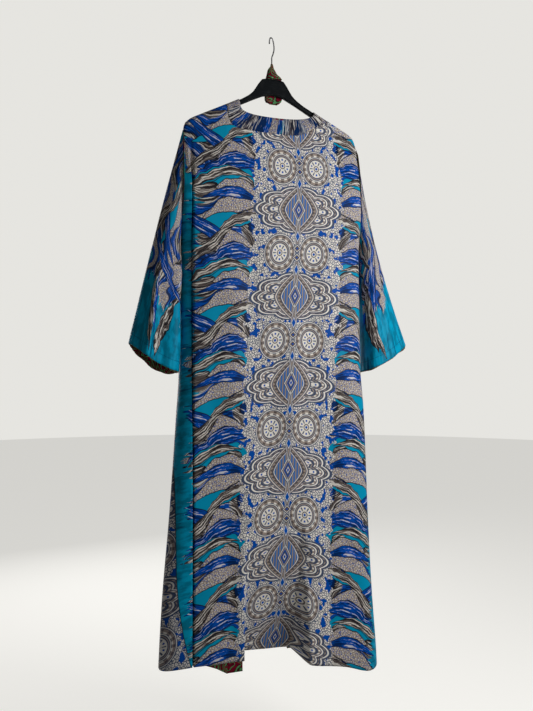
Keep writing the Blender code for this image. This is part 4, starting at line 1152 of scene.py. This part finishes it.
def sleevePuckers(grid, word):
    # Long soft pleats: each is a bell round the sleeve that grows from its start. The left sleeve's fold
    # has a path of its own, a narrow ridge between two hollows, and fine puckers run up from the cuff's
    # stitches.
    rows, columns = grid.shape[:2]
    around = np.arange(columns)[None, :] / columns
    if word == "Right":
        around = (1 - around) % 1.0
    along = (np.arange(rows) / (rows - 1))[:, None]
    pleats = [(spot - 0.5 + sleeveLook["wander"] * np.sin(along * 5.0 + spot * 20.0), width, depth, start)
              for spot, width, depth, start in sleeveLook[word]]
    if word == "Left":
        path = np.interp(along, sleeveLook["cornerAlong"], sleeveLook["cornerPlace"])
        pleats += [(path + spot - 0.5, width, depth, sleeveLook["cornerStart"])
                   for spot, width, depth in sleeveLook["corner"]]
    total = sleeveLook["pucker"] * np.sin(around * sleeveLook["puckers"] + 2.0 * np.sin(around * 31.0))
    total = total * ease((along - sleeveLook["puckerFrom"]) / 0.1)
    swing = 1 - sleeveLook["swing"] + sleeveLook["swing"] * np.sin(along * sleeveLook["swings"])
    for spot, width, depth, start in pleats:
        off = (around - spot) % 1.0 - 0.5
        grown = ease((along - start) / sleeveLook["growth"])
        total = total + depth * np.exp(-((off / width) ** 2)) * grown * swing
    return grid - gridNormals(grid, ring=True) * total[:, :, None]


for side, word in ((1, "Left"), (-1, "Right")):
    tube = finer(sleeveGrid(side), sleeve["rowsPer"], sleeve["columnsPer"], ring=True)
    tube = np.roll(sleevePuckers(tube, word), tube.shape[1] // 2, axis=1)
    down = arcDown(tube)
    along = closed(sleeveLook["length"] - (down[-1:] - down))
    around = side * (np.arange(along.shape[1]) / tube.shape[1] - 0.5) * sleeveLook["round"]
    around = np.broadcast_to(around[None, :], along.shape)
    arm = gridMesh("robeSleeve" + word, tube, [sleeveSilk[word], liningSilk],
                   np.stack([along, around], axis=2), hemPlaces(tube, ring=True), ring=True)
    dress(arm, "sleeve_" + word.lower())
    cuffRows = tube[-sleeve["liningSteps"] * sleeve["rowsPer"] - 1 :].copy()
    # The lining peeps past the cuff's edge by a slow uneven wave
    peep = 0.8 + sum(0.5 * np.sin(np.arange(tube.shape[1]) * rate) for rate in sleeveLook["peepWaves"])
    edge = cuffRows[-1] - cuffRows[-2]
    peep = np.maximum(peep, 0.0)[:, None] * sleeveLook["peep"]
    cuffRows[-1] += edge / np.linalg.norm(edge, axis=1, keepdims=True) * peep
    cuffPiece = gridMesh("cuffLining" + word, cuffRows, [liningSilk],
                         np.stack([arcAcross(cuffRows, True), closed(arcDown(cuffRows))], axis=2),
                         hemPlaces(cuffRows, ring=True), ring=True, **innerWall)
    dress(cuffPiece, "lining_cuff_" + word.lower())
print("sleeves done")

bandFine = finer(bandGrid(), band["rowsPer"], band["columnsPer"])
bandMiddle = arcAcross(bandFine)[len(bandFine) // 2]
neckMiddle = np.argmin(np.abs(bandFine[0, :, 0] - band["middleX"]) + 10.0 * (bandFine[0, :, 1] < 0.005))
bandAlong = (bandMiddle - bandMiddle[neckMiddle] + band["printAt"])[None, :]
bandAlong = np.broadcast_to(bandAlong, bandFine.shape[:2])
bandPlaces = np.stack([bandAlong, arcDown(bandFine)], axis=2)
bandPiece = gridMesh("robeNeckband", bandFine, [bandSilk, liningSilk], bandPlaces, bandPlaces)
dress(bandPiece, "neckband")
print("neckband done")


# The folded belt

belt = {"height": (-0.0683, -0.0740, -0.0820, -0.0920, -0.1010, -0.1220, -0.1420, -0.1500, -0.1550),
        "left": (0.0040, 0.0080, 0.0092, 0.0114, 0.0126, 0.0132, 0.0134, 0.0110, 0.0020),
        "right": (-0.0015, -0.0060, -0.0122, -0.0240, -0.0305, -0.0310, -0.0300, -0.0270, -0.0190),
        "half": (0.0018, 0.0030, 0.0042, 0.0056, 0.0066, 0.0070, 0.0070, 0.0060, 0.0036),
        "flank": (-0.0032, -0.0034, -0.0040, -0.0053, -0.0059, -0.0059, -0.0059, -0.0059, -0.0070),
        "layers": 8, "top": -0.0690, "foot": (-0.1530, -0.1470, -0.1545, -0.1500), "wall": 0.0007,
        "steps": 26, "turnSteps": 5, "across": 15, "pleat": 0.00025, "pleats": 7.0,
        "footDip": 0.0012, "topRise": 0.0004, "wide": 0.97, "wideSpread": 0.04, "roundIn": 0.10,
        "roundOut": 0.054,
        "turnHeight": (-0.0622, -0.0660, -0.0707, -0.0756, -0.0805, -0.0854, -0.0902, -0.0966),
        "turnLeft": (0.0030, 0.0038, 0.0066, 0.0094, 0.0086, 0.0088, 0.0106, 0.0112),
        "turnRight": (-0.0030, -0.0040, -0.0058, -0.0078, -0.0106, -0.0148, -0.0216, -0.0274),
        "turnFront": (0.0029, 0.0033, 0.0038, 0.0042, 0.0045, 0.0047, 0.0048, 0.0049),
        "turnOff": 0.0003, "turnFullness": 0.85, "turnRows": 48, "turnSides": 60,
        "ridge": 0.0004, "ridges": 3, "twist": 420.0}


def beltStrip():
    # One strip goes down and up in layers side by side; its width follows the bundle's, and it turns at
    # each end.
    heights, layer = [], []
    bow = np.linspace(0, math.pi, belt["turnSteps"] + 2)[1:-1]
    for number in range(belt["layers"]):
        down = number % 2 == 0
        run = np.linspace(belt["top"], belt["foot"][(number // 2) % len(belt["foot"])], belt["steps"])
        run = run if down else run[::-1]
        heights.append(run)
        layer.append(np.full(belt["steps"], float(number)))
        if number < belt["layers"] - 1:
            heights.append(run[-1] + (-belt["footDip"] if down else belt["topRise"]) * np.sin(bow))
            layer.append(number + 0.5 - 0.5 * np.cos(bow))
    z, layer = np.concatenate(heights)[:, None], np.concatenate(layer)[:, None]
    across = np.linspace(-1, 1, belt["across"])[None, :]
    half, flank, left, right = (bend(belt["height"], belt[side], z)
                                for side in ("half", "flank", "left", "right"))
    wide = belt["wide"] - belt["wideSpread"] * ((layer * 1.7) % 1.0)
    x = (left + right) / 2 + (left - right) / 2 * across * wide
    pleat = belt["pleat"] * np.sin(across * belt["pleats"] + layer * 2.1) * ease((belt["top"] - z) / 0.02)
    y = flank - 2 * half * (layer + 0.5) / belt["layers"] * (1 - belt["roundIn"] * across**2)
    y = y - belt["roundOut"] * half * across**2 + pleat
    return np.stack([x, y, z + 0 * x], axis=2)


stripGrid = beltStrip()
stripPlaces = np.stack([arcAcross(stripGrid), arcDown(stripGrid)], axis=2)
beltPiece = gridMesh("foldedBelt", stripGrid, [liningSilk], stripPlaces, wall=belt["wall"])
dress(beltPiece, "belt_bundle")


def turnGrid():
    # Rings down the cone: the solid's rounded rings, each point in or out by ridge * sin(ridges * turn +
    # twist * z).
    z = np.linspace(belt["turnHeight"][0], belt["turnHeight"][-1], belt["turnRows"])[:, None]
    turn = (np.arange(belt["turnSides"]) / belt["turnSides"] * 2 * math.pi)[None, :]
    left, right, front = (bend(belt["turnHeight"], belt[side], z)
                          for side in ("turnLeft", "turnRight", "turnFront"))
    rear = bend(belt["height"], belt["flank"], z) + belt["turnOff"]
    across = np.sign(np.cos(turn)) * np.abs(np.cos(turn)) ** belt["turnFullness"]
    deep = np.sign(np.sin(turn)) * np.abs(np.sin(turn)) ** belt["turnFullness"]
    wave = belt["ridge"] * (np.sin(belt["ridges"] * turn + belt["twist"] * (z - belt["turnHeight"][0])) - 1)
    wave = wave * ease((belt["turnHeight"][0] - z) / 0.004) * ease((deep + 0.9) / 0.4)
    x = (left + right) / 2 + ((left - right) / 2 + wave) * across
    return np.stack([x, (front + rear) / 2 + ((front - rear) / 2 + wave) * deep, z + 0 * x], axis=2)


loopGrid = turnGrid()
loopPlaces = np.stack([arcAcross(loopGrid, True), closed(arcDown(loopGrid))], axis=2)
loopPiece = gridMesh("beltLoop", loopGrid, [liningSilk], loopPlaces, ring=True, wall=belt["wall"])
dress(loopPiece, "belt_loop")
print("belt done")


# Hanger and hook


def mouldedPlastic():
    # Black, with a fine moulded grain, a few scuffs along the arms and a little dust
    made = newMaterial("blackPlastic", (0.006, 0.007, 0.008), 0.42)
    tree = made.node_tree
    shader = tree.nodes["Principled BSDF"]
    shader.inputs["Specular IOR Level"].default_value = 0.14
    x, y, z = objectNumbers(tree)
    grainy = grain(tree, x * 900.0 + y * 300.0, z * 900.0, 2.0)
    scuff = grain(tree, x * 30.0, z * 420.0 + y * 200.0, 2.0).above(0.66, 0.03)
    dust = grain(tree, x * 60.0, z * 60.0, 3.0)
    colour = paint(tree, (8, 13, 17), (38, 42, 46), scuff * 0.35)
    colour = paint(tree, colour, (60, 61, 60), dust.above(0.60, 0.08) * 0.12)
    tree.links.new(colour, shader.inputs["Base Color"])
    tree.links.new((grainy * 0.14 + scuff * 0.12 + 0.30).socket, shader.inputs["Roughness"])
    relieved(tree, grainy * 0.00012, 0.4)
    return made


def drawnWire():
    # Bright steel with faint drawing lines along the wire and dull spots
    made = newMaterial("brightWire", (0.42, 0.42, 0.43), 0.28, 1.0)
    tree = made.node_tree
    shader = tree.nodes["Principled BSDF"]
    x, y, z = objectNumbers(tree)
    dull = grain(tree, x * 140.0 + y * 90.0, z * 140.0, 3.0)
    colour = paint(tree, (176, 176, 178), (120, 116, 112), dull.above(0.58, 0.06) * 0.6)
    tree.links.new(colour, shader.inputs["Base Color"])
    tree.links.new((dull * 0.25 + 0.18).socket, shader.inputs["Roughness"])
    return made


blackPlastic, brightWire = mouldedPlastic(), drawnWire()
for node, finish in (("hanger_body", blackPlastic), ("hanger_hook", brightWire)):
    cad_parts[node].material_slots[0].material = finish
print("hanger done")


# Floor, light and camera

stage = {"floorZ": -1.76, "reach": 7.5, "distance": 1.8, "toCamera": (0.342, 0.940),
         "toRight": (-0.940, 0.342), "shift": -0.0127, "height": -0.772, "focal": 738.0, "tall": 711.0,
         "seen": 0.85, "given": 0.10, "floorSeen": 0.64, "tint": (0.93, 0.92, 0.88, 1.0), "sensor": 24.0}

bpy.ops.mesh.primitive_circle_add(vertices=96, radius=stage["reach"], fill_type="NGON",
                                  location=(0, 0, stage["floorZ"]))
floor = bpy.context.object
floor.name = "paleFloor"


def seenBy(tree, seen, given):
    # One value for what the camera sees, another for the light that falls on the robe
    ray = Number(tree, tree.nodes.new("ShaderNodeLightPath").outputs["Is Camera Ray"])
    return (ray * (seen - given) + given).socket


pale = newMaterial("paleFloor", (0.55, 0.54, 0.52), 0.9)
paleShader = pale.node_tree.nodes["Principled BSDF"]
paleShader.inputs["Emission Color"].default_value = stage["tint"]
paleLight = seenBy(pale.node_tree, stage["floorSeen"], 0.0)
pale.node_tree.links.new(paleLight, paleShader.inputs["Emission Strength"])
floor.data.materials.append(pale)

forward = Vector((*stage["toCamera"], 0.0))
rightward = Vector((*stage["toRight"], 0.0))
eye = bpy.data.cameras.new("eye")
eye.sensor_fit = "VERTICAL"
eye.sensor_height = stage["sensor"]
eye.lens = stage["sensor"] * stage["focal"] / stage["tall"]
eye.clip_start = 0.05
camera = bpy.data.objects.new("eye", eye)
camera.location = forward * stage["distance"] + rightward * stage["shift"] + Vector((0, 0, stage["height"]))
camera.rotation_euler = (-forward).to_track_quat("-Z", "Y").to_euler()
bpy.context.scene.collection.objects.link(camera)
bpy.context.scene.camera = camera

# Each lamp: to the image's right, towards the camera, up from the robe's middle, size, watts
lights = {"keyLight": (1.32, 0.74, 0.40, 0.8, 16.9), "fillLight": (-1.2, 2.0, 0.3, 1.6, 0.8),
          "topLight": (0.5, 0.4, 1.5, 1.0, 2.0), "farLight": (-0.9, -1.7, 0.5, 1.6, 20.0)}
for name, (right, toward, up, size, power) in lights.items():
    lamp = bpy.data.lights.new(name, "AREA")
    lamp.size = size
    lamp.energy = power
    held = bpy.data.objects.new(name, lamp)
    held.location = rightward * right + forward * toward + Vector((0, 0, stage["height"] + up))
    aim = Vector((0, 0, stage["height"])) - held.location
    held.rotation_euler = aim.to_track_quat("-Z", "Y").to_euler()
    bpy.context.scene.collection.objects.link(held)

# The studio: the backdrop that the camera sees is paler than the light that it gives
world = bpy.context.scene.world or bpy.data.worlds.new("studio")
bpy.context.scene.world = world
world.use_nodes = True
air = world.node_tree
backdrop = air.nodes["Background"]
backdrop.inputs["Color"].default_value = stage["tint"]
air.links.new(seenBy(air, stage["seen"], stage["given"]), backdrop.inputs["Strength"])
bpy.context.scene.view_settings.view_transform = "Standard"

print("pieces done")
